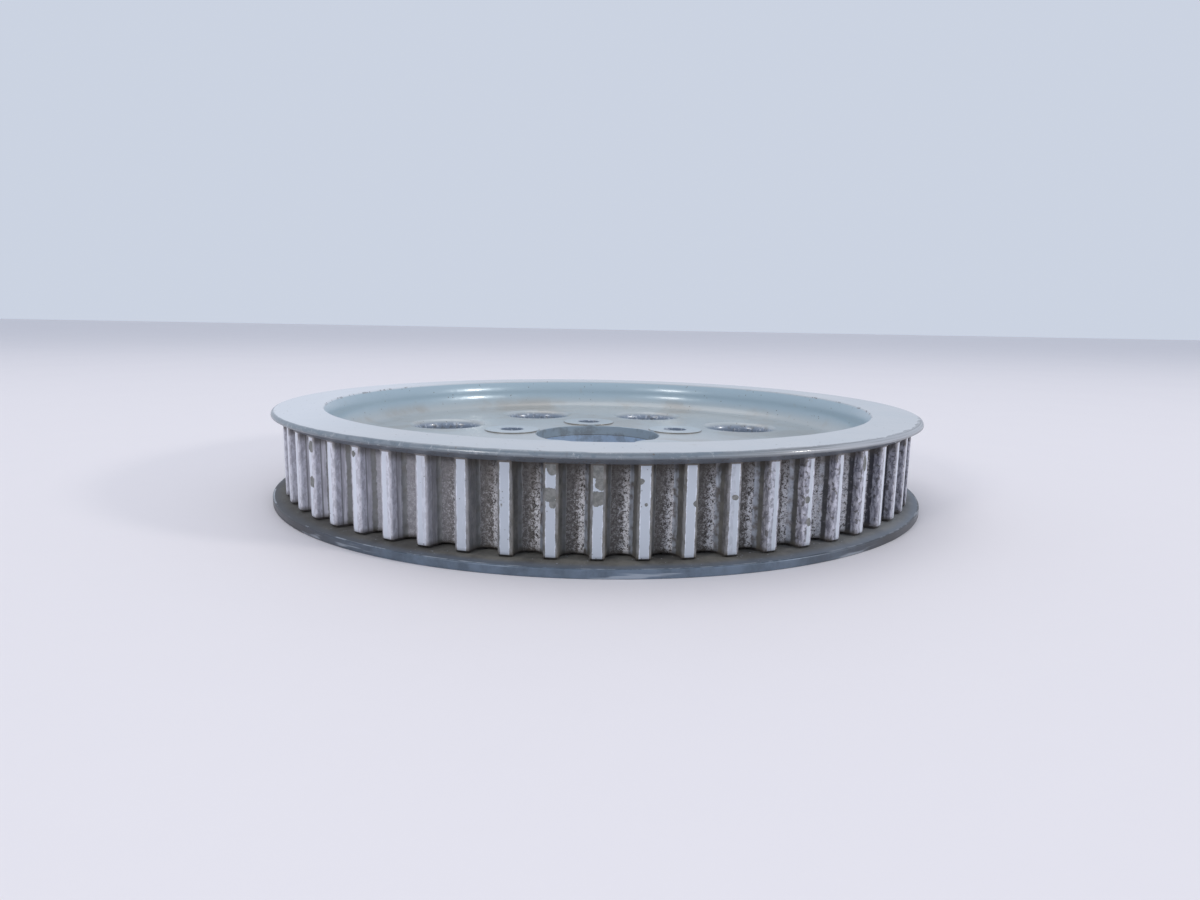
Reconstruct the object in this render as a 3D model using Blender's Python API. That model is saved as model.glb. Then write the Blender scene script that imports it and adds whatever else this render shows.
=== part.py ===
"""Flanged toothed belt pulley: a dished casting, the ring that forms its lower flange, and its screws.

Metres, +Z up along the pulley's axis. The origin is the centre of the plane that the pulley lies on.
"""

import math

import bmesh
import bpy
from mathutils import Matrix, Vector

MM = 0.001

# Toothed rim: the belt's pitch and the number of teeth set the diameter
TOOTH_COUNT = 61
BELT_PITCH = 14.0 * MM
PITCH_LINE_OFFSET = 1.37 * MM  # from the tips of the lands out to the belt's pitch line
GROOVE_DEPTH = 6.1 * MM
GROOVE_HALF_WIDTH = 4.6 * MM  # also the radius of the groove's round root
LAND_EDGE_RADIUS = 0.65 * MM
BELT_SPACE = 29.0 * MM  # clear width between the two flanges at the lands
FIRST_LAND_ANGLE = -95.7  # degrees from +X

# Upper flange, one piece with the casting
UPPER_FLANGE_REACH = 4.2 * MM  # beyond the lands
UPPER_FLANGE_BEVEL_RISE = 2.1 * MM
UPPER_FLANGE_HEIGHT = 4.1 * MM  # from the tops of the lands to the flat top face
UPPER_FLANGE_EDGE_RADIUS = 1.6 * MM

# Dish
RIM_WALL_AT_TOP = 15.66 * MM  # from the lands in to the dish's upper edge
RIM_WALL_AT_FOOT = 17.6 * MM  # from the lands in to the dish wall where its fillet begins
DISH_FILLET = 9.0 * MM
WEB_TOP = 22.2 * MM
WEB_THICKNESS = 8.7 * MM
UNDERSIDE_WALL = 23.0 * MM  # from the lands in to the underside's outer wall
UNDERSIDE_FILLET = 4.0 * MM

# Hub
HUB_RADIUS = 50.0 * MM
HUB_BOTTOM = 5.0 * MM
BORE_RADIUS = 27.95 * MM
REGISTER_STEP = 0.25 * MM  # by which the shallow register at the top is wider than the bore
REGISTER_DEPTH = 4.4 * MM
BORE_CHAMFER = 0.25 * MM

# Bolts: five holes in raised, machined seats
BOLT_COUNT = 5
BOLT_CIRCLE_RADIUS = 41.275 * MM
BOLT_HOLE_RADIUS = 5.5 * MM
BOLT_SEAT_RADIUS = 12.65 * MM
BOLT_SEAT_RISE = 0.6 * MM
FIRST_BOLT_ANGLE = 96.5

# Lightening holes, sized by the flat bands of web that they leave towards the hub and the dish's fillet
LIGHTENING_COUNT = 8
LIGHTENING_HUB_BAND = 13.5 * MM
LIGHTENING_RIM_BAND = 12.4 * MM
LIGHTENING_EDGE = 3.5 * MM  # radius of the rounded edges of the holes
LIGHTENING_EDGE_SPAN = 75.0  # degrees of that rounding
FIRST_LIGHTENING_ANGLE = 115.0

# Lower flange: a separate ring, located on a spigot under the rim
RING_REACH = 4.95 * MM  # beyond the lands
RING_THICKNESS = 3.7 * MM
RING_EDGE_THICKNESS = 2.9 * MM
RING_EDGE_CHAMFER = 0.3 * MM
SPIGOT_INSET = 15.5 * MM  # from the lands in to the spigot
SPIGOT_LIFT = 0.3 * MM  # the spigot stays this far above the resting plane
SEAT_GAP = 0.3 * MM  # between neighbouring pieces

# Countersunk screws that hold the ring
SCREW_COUNT = 12
SCREW_INSET = 10.1 * MM  # from the lands in to the screw circle
SCREW_RADIUS = 2.0 * MM
SCREW_HEAD_RADIUS = 4.0 * MM
SCREW_LENGTH = 12.0 * MM
SCREW_SINK = 0.2 * MM  # the head lies this far inside the ring's face
SCREW_TIP_CHAMFER = 0.5 * MM
SOCKET_RADIUS = 1.45 * MM  # to the corners of the hexagon
SOCKET_DEPTH = 1.3 * MM

# Fineness of the round shapes, in steps a turn or a corner
TURNED_STEPS = 72
BORE_STEPS = 48
HOLE_STEPS = 20
SCREW_STEPS = 12
CORNER_STEPS = 2
DISH_CORNER_STEPS = 4
GROOVE_ROOT_STEPS = 6
LAND_EDGE_STEPS = 1

LIP_KNEE_SHARE = 0.6  # where the dish wall has its one bend, from 0 at the fillet to 1 at the top
CUTTER_OVERRUN = 2.0 * MM
JOIN_SINK = 0.5 * MM  # by which the ring of teeth reaches into the metal behind and above it
SHARP_ANGLE = 30.0
WELD = 1e-7

# Radii and heights that follow from the sizes above
LAND_RADIUS = TOOTH_COUNT * BELT_PITCH / (2 * math.pi) - PITCH_LINE_OFFSET
RIM_BOTTOM = RING_THICKNESS + SEAT_GAP
LAND_TOP = RIM_BOTTOM + BELT_SPACE
TOP_FACE = LAND_TOP + UPPER_FLANGE_HEIGHT
DISH_TOP_RADIUS = LAND_RADIUS - RIM_WALL_AT_TOP
DISH_FOOT_RADIUS = LAND_RADIUS - RIM_WALL_AT_FOOT
WEB_OUTER_RADIUS = DISH_FOOT_RADIUS - DISH_FILLET
UNDERSIDE_RADIUS = LAND_RADIUS - UNDERSIDE_WALL
WEB_BOTTOM = WEB_TOP - WEB_THICKNESS
SPIGOT_RADIUS = LAND_RADIUS - SPIGOT_INSET
SCREW_CIRCLE_RADIUS = LAND_RADIUS - SCREW_INSET
REGISTER_RADIUS = BORE_RADIUS + REGISTER_STEP
LIGHTENING_RADIUS = (WEB_OUTER_RADIUS - HUB_RADIUS - LIGHTENING_HUB_BAND - LIGHTENING_RIM_BAND) / 2
LIGHTENING_CIRCLE_RADIUS = HUB_RADIUS + LIGHTENING_HUB_BAND + LIGHTENING_RADIUS
BOLT_SEAT_TOP = WEB_TOP + BOLT_SEAT_RISE
HEAD_HEIGHT = SCREW_HEAD_RADIUS - SCREW_RADIUS  # the countersink's sides stand at 45 degrees


def clear_scene():
    for obj in list(bpy.data.objects):
        bpy.data.objects.remove(obj, do_unlink=True)


def finish(name, colour, metallic, roughness):
    material = bpy.data.materials.new(name)
    material.use_nodes = True
    shader = material.node_tree.nodes["Principled BSDF"]
    shader.inputs["Base Color"].default_value = (*colour, 1.0)
    shader.inputs["Metallic"].default_value = metallic
    shader.inputs["Roughness"].default_value = roughness
    return material


def arc(centre_r, centre_z, radius, start, end, steps):
    """Points (r, z) of an arc between two angles in degrees, both ends included."""
    angles = [math.radians(start + (end - start) * i / steps) for i in range(steps + 1)]
    return [(centre_r + radius * math.cos(a), centre_z + radius * math.sin(a)) for a in angles]


def circle_places(count, radius, first_angle):
    """One matrix for each place round the axis, with local +X pointing outwards."""
    for i in range(count):
        turn = Matrix.Rotation(math.radians(first_angle + 360.0 * i / count), 4, "Z")
        yield turn @ Matrix.Translation((radius, 0.0, 0.0))


def object_from(name, bm, material):
    bmesh.ops.remove_doubles(bm, verts=bm.verts, dist=WELD)
    bmesh.ops.recalc_face_normals(bm, faces=bm.faces)
    mesh = bpy.data.meshes.new(name)
    bm.to_mesh(mesh)
    bm.free()
    mesh.shade_smooth()
    mesh.set_sharp_from_angle(angle=math.radians(SHARP_ANGLE))
    mesh.materials.append(material)
    obj = bpy.data.objects.new(name, mesh)
    bpy.context.scene.collection.objects.link(obj)
    return obj


def add_turned(bm, profile, steps, place=None):
    """Spins the outline of points (r, z) once round Z, and puts the result at the given place.

    An outline that starts and ends on the axis is left open there, and the turn itself closes it.
    """
    verts = [bm.verts.new((r, 0.0, z)) for r, z in profile]
    on_axis = profile[0][0] == 0.0 and profile[-1][0] == 0.0
    edges = [bm.edges.new((verts[i - 1], verts[i])) for i in range(int(on_axis), len(verts))]
    before = set(bm.verts) - set(verts)
    turn = {"cent": (0, 0, 0), "axis": (0, 0, 1), "angle": 2 * math.pi, "use_merge": True}
    bmesh.ops.spin(bm, geom=verts + edges, steps=steps, **turn)
    made = [v for v in bm.verts if v not in before]
    if place is not None:
        bmesh.ops.transform(bm, matrix=place, verts=made)


def add_prism(bm, outline, low, high):
    """A straight prism on a closed outline of points (x, y)."""
    verts = [bm.verts.new((x, y, low)) for x, y in outline]
    face = bm.faces.new(verts)
    raised = bmesh.ops.extrude_face_region(bm, geom=[face])
    tops = [v for v in raised["geom"] if isinstance(v, bmesh.types.BMVert)]
    bmesh.ops.translate(bm, vec=Vector((0, 0, high - low)), verts=tops)


def helper(name, bm, material):
    """A shape that only adds to or cuts from another, and isn't a piece."""
    obj = object_from(name, bm, material)
    obj.hide_render = True
    obj.display_type = "WIRE"
    return obj


def combine(obj, other, operation):
    modifier = obj.modifiers.new(other.name, "BOOLEAN")
    modifier.operation = operation
    modifier.solver = "EXACT"
    modifier.object = other


def casting_profile():
    """The casting's turned section, from the dish's upper edge clockwise round to the fillet of its wall."""
    flange_radius = LAND_RADIUS + UPPER_FLANGE_REACH
    flange_edge = arc(
        flange_radius - UPPER_FLANGE_EDGE_RADIUS,
        TOP_FACE - UPPER_FLANGE_EDGE_RADIUS,
        UPPER_FLANGE_EDGE_RADIUS,
        90,
        0,
        CORNER_STEPS,
    )
    fillet = UNDERSIDE_FILLET
    fillet_z = WEB_BOTTOM - fillet
    underside_corner = arc(UNDERSIDE_RADIUS - fillet, fillet_z, fillet, 0, 90, CORNER_STEPS)
    hub_corner = arc(HUB_RADIUS + fillet, fillet_z, fillet, 90, 180, CORNER_STEPS)
    dish_corner = arc(WEB_OUTER_RADIUS, WEB_TOP + DISH_FILLET, DISH_FILLET, -90, 0, DISH_CORNER_STEPS)
    pilot_radius = BORE_RADIUS / 2  # a starting hole, which the bore's cut removes
    return [
        (DISH_TOP_RADIUS, TOP_FACE),
        *flange_edge,
        (flange_radius, LAND_TOP + UPPER_FLANGE_BEVEL_RISE),
        (LAND_RADIUS, LAND_TOP),
        (SPIGOT_RADIUS, LAND_TOP),
        (SPIGOT_RADIUS, SPIGOT_LIFT),
        (UNDERSIDE_RADIUS, SPIGOT_LIFT),
        *underside_corner,
        *hub_corner,
        (HUB_RADIUS, HUB_BOTTOM),
        (pilot_radius, HUB_BOTTOM),
        (pilot_radius, WEB_TOP),
        *dish_corner,
        (lip_radius(LIP_KNEE_SHARE), lip_height(LIP_KNEE_SHARE)),
    ]


def lip_height(share):
    """Height of a point on the dish wall above its fillet, from 0 at the fillet to 1 at the top face."""
    return WEB_TOP + DISH_FILLET + share * (TOP_FACE - WEB_TOP - DISH_FILLET)


def lip_radius(share):
    """Radius of the same point: the wall leans out more and more towards its upper edge."""
    return DISH_FOOT_RADIUS + share**2 * (DISH_TOP_RADIUS - DISH_FOOT_RADIUS)


def groove_outline():
    """One groove and half the land on each side of it, as points (across, out), from left to right."""
    root_centre = -GROOVE_DEPTH + GROOVE_HALF_WIDTH
    edge_centre = GROOVE_HALF_WIDTH + LAND_EDGE_RADIUS
    left_edge = arc(-edge_centre, -LAND_EDGE_RADIUS, LAND_EDGE_RADIUS, 90, 0, LAND_EDGE_STEPS)
    root = arc(0.0, root_centre, GROOVE_HALF_WIDTH, 180, 360, GROOVE_ROOT_STEPS)
    right_edge = arc(edge_centre, -LAND_EDGE_RADIUS, LAND_EDGE_RADIUS, 180, 90, LAND_EDGE_STEPS)
    return [*left_edge, *root, *right_edge]


def toothed_outline():
    """The rim's outline seen along the axis. Each groove's points are turned to their place."""
    step = 360.0 / TOOTH_COUNT
    points = []
    for i in range(TOOTH_COUNT):
        middle = FIRST_LAND_ANGLE + (i + 0.5) * step
        for across, out in groove_outline():
            radius = math.hypot(LAND_RADIUS + out, across)
            angle = math.radians(middle) + math.atan2(across, LAND_RADIUS + out)
            if out == 0.0:
                radius = LAND_RADIUS
            points.append((radius * math.cos(angle), radius * math.sin(angle)))
    return points


def make_toothed_rim(material):
    """The ring of teeth, sunk a little into the wall and the upper flange that it is joined to."""
    bm = bmesh.new()
    outer = [bm.verts.new((x, y, RIM_BOTTOM)) for x, y in toothed_outline()]
    edges = [bm.edges.new((outer[i - 1], outer[i])) for i in range(len(outer))]
    foot = Matrix.Translation((0, 0, RIM_BOTTOM))
    inner = bmesh.ops.create_circle(bm, segments=TURNED_STEPS, radius=SPIGOT_RADIUS - JOIN_SINK, matrix=foot)
    edges += list({edge for vert in inner["verts"] for edge in vert.link_edges})
    bmesh.ops.triangle_fill(bm, use_beauty=True, edges=edges)
    raised = bmesh.ops.extrude_face_region(bm, geom=bm.faces[:])
    tops = [v for v in raised["geom"] if isinstance(v, bmesh.types.BMVert)]
    bmesh.ops.translate(bm, vec=Vector((0, 0, LAND_TOP + JOIN_SINK - RIM_BOTTOM)), verts=tops)
    return helper("toothed_rim", bm, material)


def make_bolt_seats(material):
    bm = bmesh.new()
    low = WEB_TOP - WEB_THICKNESS / 2
    profile = [(0.0, low), (BOLT_SEAT_RADIUS, low), (BOLT_SEAT_RADIUS, BOLT_SEAT_TOP), (0.0, BOLT_SEAT_TOP)]
    for place in circle_places(BOLT_COUNT, BOLT_CIRCLE_RADIUS, FIRST_BOLT_ANGLE):
        add_turned(bm, profile, HOLE_STEPS, place)
    return helper("bolt_seats", bm, material)


def add_bore(bm):
    """The bore, its register at the top and a small chamfer at each mouth."""
    profile = [
        (0.0, HUB_BOTTOM - CUTTER_OVERRUN),
        (BORE_RADIUS + BORE_CHAMFER + CUTTER_OVERRUN, HUB_BOTTOM - CUTTER_OVERRUN),
        (BORE_RADIUS, HUB_BOTTOM + BORE_CHAMFER),
        (BORE_RADIUS, WEB_TOP - REGISTER_DEPTH),
        (REGISTER_RADIUS, WEB_TOP - REGISTER_DEPTH),
        (REGISTER_RADIUS, WEB_TOP - BORE_CHAMFER),
        (REGISTER_RADIUS + BORE_CHAMFER, WEB_TOP),
        (REGISTER_RADIUS + BORE_CHAMFER, BOLT_SEAT_TOP + CUTTER_OVERRUN),
        (0.0, BOLT_SEAT_TOP + CUTTER_OVERRUN),
    ]
    add_turned(bm, profile, BORE_STEPS)


def add_bolt_holes(bm):
    low = HUB_BOTTOM - CUTTER_OVERRUN
    high = BOLT_SEAT_TOP + CUTTER_OVERRUN
    profile = [(0.0, low), (BOLT_HOLE_RADIUS, low), (BOLT_HOLE_RADIUS, high), (0.0, high)]
    for place in circle_places(BOLT_COUNT, BOLT_CIRCLE_RADIUS, FIRST_BOLT_ANGLE):
        add_turned(bm, profile, HOLE_STEPS, place)


def add_lightening_holes(bm):
    """Round holes whose edges are rounded off on both faces of the web."""
    edge_r = LIGHTENING_RADIUS + LIGHTENING_EDGE
    span = LIGHTENING_EDGE_SPAN
    lower_edge = arc(edge_r, WEB_BOTTOM + LIGHTENING_EDGE, LIGHTENING_EDGE, 180 + span, 180, CORNER_STEPS)
    upper_edge = arc(edge_r, WEB_TOP - LIGHTENING_EDGE, LIGHTENING_EDGE, 180, 180 - span, CORNER_STEPS)
    low = WEB_BOTTOM - CUTTER_OVERRUN
    high = WEB_TOP + CUTTER_OVERRUN
    mouth = upper_edge[-1][0]
    profile = [(0.0, low), (mouth, low), *lower_edge, *upper_edge, (mouth, high), (0.0, high)]
    for place in circle_places(LIGHTENING_COUNT, LIGHTENING_CIRCLE_RADIUS, FIRST_LIGHTENING_ANGLE):
        add_turned(bm, profile, HOLE_STEPS, place)


def add_screw_holes(bm):
    low = RIM_BOTTOM - CUTTER_OVERRUN
    high = SCREW_SINK + SCREW_LENGTH + SEAT_GAP
    radius = SCREW_RADIUS + SEAT_GAP
    profile = [(0.0, low), (radius, low), (radius, high), (0.0, high)]
    for place in circle_places(SCREW_COUNT, SCREW_CIRCLE_RADIUS, 0.0):
        add_turned(bm, profile, SCREW_STEPS, place)


def make_hole_cutter(material):
    bm = bmesh.new()
    add_bore(bm)
    add_bolt_holes(bm)
    add_lightening_holes(bm)
    add_screw_holes(bm)
    return helper("casting_holes", bm, material)


def make_casting(material):
    bm = bmesh.new()
    add_turned(bm, casting_profile(), TURNED_STEPS)
    casting = object_from("pulley_casting", bm, material)
    combine(casting, make_toothed_rim(material), "UNION")
    combine(casting, make_bolt_seats(material), "UNION")
    combine(casting, make_hole_cutter(material), "DIFFERENCE")


def make_ring(material):
    """The lower flange: flat under the teeth, then falling away towards its thinner edge."""
    outer = LAND_RADIUS + RING_REACH
    inner = SPIGOT_RADIUS + SEAT_GAP
    bm = bmesh.new()
    profile = [
        (inner, 0.0),
        (outer - RING_EDGE_CHAMFER, 0.0),
        (outer, RING_EDGE_CHAMFER),
        (outer, RING_EDGE_THICKNESS - RING_EDGE_CHAMFER),
        (outer - RING_EDGE_CHAMFER, RING_EDGE_THICKNESS),
        (LAND_RADIUS, RING_THICKNESS),
        (inner, RING_THICKNESS),
    ]
    add_turned(bm, profile, TURNED_STEPS)
    ring = object_from("lower_flange_ring", bm, material)
    combine(ring, make_countersink_cutter(material), "DIFFERENCE")
    return ring


def make_countersink_cutter(material):
    mouth = SCREW_HEAD_RADIUS + SEAT_GAP + SCREW_SINK
    throat = SCREW_RADIUS + SEAT_GAP
    profile = [
        (0.0, -CUTTER_OVERRUN),
        (mouth + CUTTER_OVERRUN, -CUTTER_OVERRUN),
        (throat, mouth - throat),
        (throat, RING_THICKNESS + CUTTER_OVERRUN),
        (0.0, RING_THICKNESS + CUTTER_OVERRUN),
    ]
    bm = bmesh.new()
    for place in circle_places(SCREW_COUNT, SCREW_CIRCLE_RADIUS, 0.0):
        add_turned(bm, profile, SCREW_STEPS, place)
    return helper("countersink_cut", bm, material)


def make_screws(material):
    """Countersunk screws, each with a hexagon socket, all sharing one mesh."""
    bm = bmesh.new()
    profile = [
        (0.0, 0.0),
        (SCREW_HEAD_RADIUS, 0.0),
        (SCREW_RADIUS, HEAD_HEIGHT),
        (SCREW_RADIUS, SCREW_LENGTH - SCREW_TIP_CHAMFER),
        (SCREW_RADIUS - SCREW_TIP_CHAMFER, SCREW_LENGTH),
        (0.0, SCREW_LENGTH),
    ]
    add_turned(bm, profile, SCREW_STEPS)
    pattern = object_from("flange_screw_01", bm, material)
    bm = bmesh.new()
    corners = [math.radians(60 * i) for i in range(6)]
    outline = [(SOCKET_RADIUS * math.cos(a), SOCKET_RADIUS * math.sin(a)) for a in corners]
    add_prism(bm, outline, -CUTTER_OVERRUN, SOCKET_DEPTH)
    socket = helper("socket_cut", bm, material)
    for i, place in enumerate(circle_places(SCREW_COUNT, SCREW_CIRCLE_RADIUS, 0.0)):
        screw = pattern if i == 0 else pattern.copy()
        screw.name = f"flange_screw_{i + 1:02d}"
        place_screw = Matrix.Translation((0, 0, SCREW_SINK)) @ place
        cut = socket if i == 0 else socket.copy()
        if i:
            bpy.context.scene.collection.objects.link(screw)
            bpy.context.scene.collection.objects.link(cut)
        screw.matrix_world = place_screw
        cut.matrix_world = place_screw
        screw.modifiers.clear()
        combine(screw, cut, "DIFFERENCE")


def main():
    clear_scene()
    cast_aluminium = finish("cast_aluminium", (0.60, 0.64, 0.68), 0.3, 0.45)
    dark_flange = finish("dark_flange", (0.22, 0.25, 0.28), 0.5, 0.5)
    screw_steel = finish("screw_steel", (0.35, 0.35, 0.36), 0.9, 0.4)
    make_casting(cast_aluminium)
    make_ring(dark_flange)
    make_screws(screw_steel)


main()
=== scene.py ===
"""Looks of the flanged belt pulley: casting, toothed rim, flange ring, screws, finishes and studio."""

import logging
import math
from dataclasses import dataclass, field
from enum import Enum
from functools import reduce
from typing import Callable, Union

import bmesh
import bpy
from mathutils import Matrix, Vector


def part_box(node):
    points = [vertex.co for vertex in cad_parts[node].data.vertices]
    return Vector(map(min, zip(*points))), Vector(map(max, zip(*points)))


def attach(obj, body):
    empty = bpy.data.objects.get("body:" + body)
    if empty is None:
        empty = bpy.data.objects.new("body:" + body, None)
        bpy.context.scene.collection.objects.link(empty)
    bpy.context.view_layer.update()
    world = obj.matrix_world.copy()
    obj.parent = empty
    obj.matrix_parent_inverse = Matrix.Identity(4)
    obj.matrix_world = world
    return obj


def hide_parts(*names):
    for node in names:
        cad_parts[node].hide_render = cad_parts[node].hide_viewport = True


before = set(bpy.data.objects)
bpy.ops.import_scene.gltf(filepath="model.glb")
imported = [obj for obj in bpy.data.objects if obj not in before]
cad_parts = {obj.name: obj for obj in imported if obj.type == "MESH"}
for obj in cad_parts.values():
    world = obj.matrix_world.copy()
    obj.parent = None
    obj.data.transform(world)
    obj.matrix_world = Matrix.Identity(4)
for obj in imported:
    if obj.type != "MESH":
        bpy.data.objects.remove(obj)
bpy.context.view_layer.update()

LOG = logging.getLogger("pulley")

MM = 0.001
WELD = 0.002 * MM
Colour = tuple[float, float, float]
Point = tuple[float, float]
Socket = bpy.types.NodeSocket
Source = Union[Socket, float, Colour]


class Body(Enum):
    """The bodies that pieces ride on."""

    WHOLE = "root"


class Slot(Enum):
    """The record's material slots."""

    CASTING = "cast_aluminium"
    RING = "flange_ring"
    SCREW = "screw_steel"


def srgb(red: int, green: int, blue: int) -> Colour:
    """Turns a colour as it is seen on a screen into the linear one that shaders take.

    Args:
        red: Red, from 0 to 255.
        green: Green, from 0 to 255.
        blue: Blue, from 0 to 255.

    Returns:
        The three linear parts, from 0 to 1.
    """
    parts = (red / 255.0, green / 255.0, blue / 255.0)
    return tuple(p / 12.92 if p <= 0.04045 else ((p + 0.055) / 1.055) ** 2.4 for p in parts)


def arc(centre: Point, radius: float, start: float, end: float, steps: int) -> list[Point]:
    """Points along an arc.

    Args:
        centre: The arc's centre, as (out, up).
        radius: Its radius.
        start: Angle of its first point, in degrees from the outward direction.
        end: Angle of its last point.
        steps: Number of stretches between the points.

    Returns:
        The points, both ends included.
    """
    angles = [math.radians(start + (end - start) * i / steps) for i in range(steps + 1)]
    return [(centre[0] + radius * math.cos(a), centre[1] + radius * math.sin(a)) for a in angles]


@dataclass(frozen=True)
class PulleySizes:
    """The pulley's sizes in metres and degrees. Those that the frame shows are read from its boxes."""

    teeth: int = 61
    first_land: float = -95.7
    belt_pitch: float = 14.0 * MM
    pitch_line_offset: float = 1.37 * MM
    belt_space: float = 29.0 * MM
    groove_depth: float = 6.1 * MM
    groove_radius: float = 4.6 * MM
    land_edge: float = 0.65 * MM
    seat_gap: float = 0.3 * MM
    spigot_inset: float = 15.5 * MM
    lip_inset: float = 15.66 * MM
    web_top: float = 22.2 * MM
    web_thickness: float = 8.7 * MM
    hub_radius: float = 50.0 * MM
    hub_bottom: float = 5.0 * MM
    bore_radius: float = 27.95 * MM
    register_depth: float = 4.4 * MM
    bolt_circle: float = 41.275 * MM
    bolt_count: int = 5
    first_bolt: float = 96.5
    bolt_hole: float = 5.5 * MM
    bolt_seat: float = 12.65 * MM
    bolt_seat_rise: float = 0.6 * MM
    screw_count: int = 12
    screw_inset: float = 10.1 * MM
    flange_radius: float = field(default_factory=lambda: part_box("pulley_casting")[1].x)
    top_face: float = field(default_factory=lambda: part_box("pulley_casting")[1].z)
    casting_foot: float = field(default_factory=lambda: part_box("pulley_casting")[0].z)
    ring_radius: float = field(default_factory=lambda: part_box("lower_flange_ring")[1].x)
    ring_thickness: float = field(default_factory=lambda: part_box("lower_flange_ring")[1].z)

    @property
    def land_radius(self) -> float:
        """Radius of the lands between the grooves."""
        return self.teeth * self.belt_pitch / math.tau - self.pitch_line_offset

    @property
    def tooth_step(self) -> float:
        """Angle from one land to the next, in degrees."""
        return 360.0 / self.teeth

    @property
    def rim_bottom(self) -> float:
        """Height of the rim's lower end."""
        return self.ring_thickness + self.seat_gap

    @property
    def land_top(self) -> float:
        """Height at which the lands meet the upper flange."""
        return self.rim_bottom + self.belt_space

    @property
    def spigot_radius(self) -> float:
        """Radius of the spigot that the ring is located on."""
        return self.land_radius - self.spigot_inset

    @property
    def dish_lip(self) -> float:
        """Radius of the dish's upper edge."""
        return self.land_radius - self.lip_inset

    @property
    def register_level(self) -> float:
        """Height of the step in the bore."""
        return self.web_top - self.register_depth

    @property
    def web_bottom(self) -> float:
        """Height of the web's underside."""
        return self.web_top - self.web_thickness

    @property
    def screw_circle(self) -> float:
        """Radius of the circle that the ring's screws stand on."""
        return self.land_radius - self.screw_inset


class Workpiece:
    """One mesh under work, from its first point to its finished surface. It stays in edit mode."""

    def __init__(self, name: str, start: Vector) -> None:
        """Adds a small plane, merges it into one point and moves that to where the outline starts.

        Args:
            name: Name of the piece.
            start: Place of the outline's first point.
        """
        bpy.ops.object.select_all(action="DESELECT")
        bpy.ops.mesh.primitive_plane_add(size=MM, location=(0.0, 0.0, 0.0))
        self.piece: bpy.types.Object = bpy.context.active_object
        self.piece.name = name
        self.piece.data.name = name
        bpy.ops.object.mode_set(mode="EDIT")
        bpy.ops.mesh.select_mode(type="VERT")
        bpy.ops.mesh.select_all(action="SELECT")
        bpy.ops.mesh.merge(type="CENTER")
        bpy.ops.mesh.select_all(action="SELECT")
        bpy.ops.transform.translate(value=start)
        self.tip = start

    def draw(self, points: list[Vector], close: bool = False) -> None:
        """Extrudes the last point from place to place.

        Args:
            points: The outline's further points.
            close: Whether an edge joins the last point to the first.
        """
        for point in points:
            bpy.ops.mesh.extrude_vertices_move(TRANSFORM_OT_translate={"value": point - self.tip})
            self.tip = point
        if close:
            ends = {0, len(points)}
            self.select(lambda vert: vert.index in ends)
            bpy.ops.mesh.edge_face_add()

    def select(self, test: Callable[[bmesh.types.BMVert], bool]) -> None:
        """Selects the points that pass a test, with the edges and faces that they hold.

        Args:
            test: Says whether a point is wanted.
        """
        mesh = bmesh.from_edit_mesh(self.piece.data)
        mesh.verts.index_update()
        for vert in mesh.verts:
            vert.select_set(False)
        for vert in mesh.verts:
            vert.select = test(vert)
        mesh.select_flush_mode()
        bmesh.update_edit_mesh(self.piece.data)

    def spin(self, steps: int, centre: Point = (0.0, 0.0), copies: bool = False) -> None:
        """Turns everything once round an upright axis, as a surface or as copies, and joins the ends.

        Args:
            steps: Number of steps in the turn.
            centre: Where the axis stands.
            copies: Whether to make copies in place of a surface.
        """
        bpy.ops.mesh.select_all(action="SELECT")
        middle = (centre[0], centre[1], 0.0)
        bpy.ops.mesh.spin(steps=steps, dupli=copies, angle=math.tau, center=middle, axis=(0.0, 0.0, 1.0))
        bpy.ops.mesh.select_all(action="SELECT")
        bpy.ops.mesh.remove_doubles(threshold=WELD)
        bpy.ops.mesh.normals_make_consistent(inside=False)

    def leave(self, turn: float = 0.0) -> bpy.types.Object:
        """Ends edit mode, turns the piece about the pulley's axis and applies its place.

        Args:
            turn: Angle in degrees.

        Returns:
            The piece.
        """
        bpy.ops.object.mode_set(mode="OBJECT")
        make_active(self.piece)
        self.piece.rotation_euler.z = math.radians(turn)
        bpy.ops.object.transform_apply(location=True, rotation=True, scale=True)
        return self.piece


def make_active(piece: bpy.types.Object) -> None:
    """Selects one piece alone.

    Args:
        piece: The piece to work on next.
    """
    bpy.ops.object.select_all(action="DESELECT")
    piece.select_set(True)
    bpy.context.view_layer.objects.active = piece


def combine(piece: bpy.types.Object, tool: bpy.types.Object, operation: str) -> None:
    """Adds or cuts one closed shape and removes the tool.

    Args:
        piece: The piece that changes.
        tool: The shape that is added to it or cut from it.
        operation: UNION or DIFFERENCE.
    """
    make_active(piece)
    modifier = piece.modifiers.new(operation, "BOOLEAN")
    modifier.operation = operation
    modifier.solver = "MANIFOLD"
    modifier.object = tool
    bpy.ops.object.modifier_apply(modifier=modifier.name)
    bpy.data.objects.remove(tool, do_unlink=True)


def smooth(piece: bpy.types.Object, angle: float) -> None:
    """Shades a piece smooth between its sharp edges, with the large faces setting the light.

    Args:
        piece: The piece.
        angle: Edges sharper than this stay sharp, in degrees.
    """
    make_active(piece)
    bpy.ops.object.shade_smooth_by_angle(angle=math.radians(angle))
    modifier = piece.modifiers.new("even_light", "WEIGHTED_NORMAL")
    modifier.keep_sharp = True
    bpy.ops.object.modifier_apply(modifier=modifier.name)


def clothe(piece: bpy.types.Object, material: bpy.types.Material) -> None:
    """Gives a piece one material alone."""
    piece.data.materials.clear()
    piece.data.materials.append(material)


def turned_places(outline: list[Point], middle: float = 0.0) -> list[Vector]:
    """Outline points (out, up) as places above the X axis, out from a middle on it."""
    return [Vector((middle + out, 0.0, up)) for out, up in outline]


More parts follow.
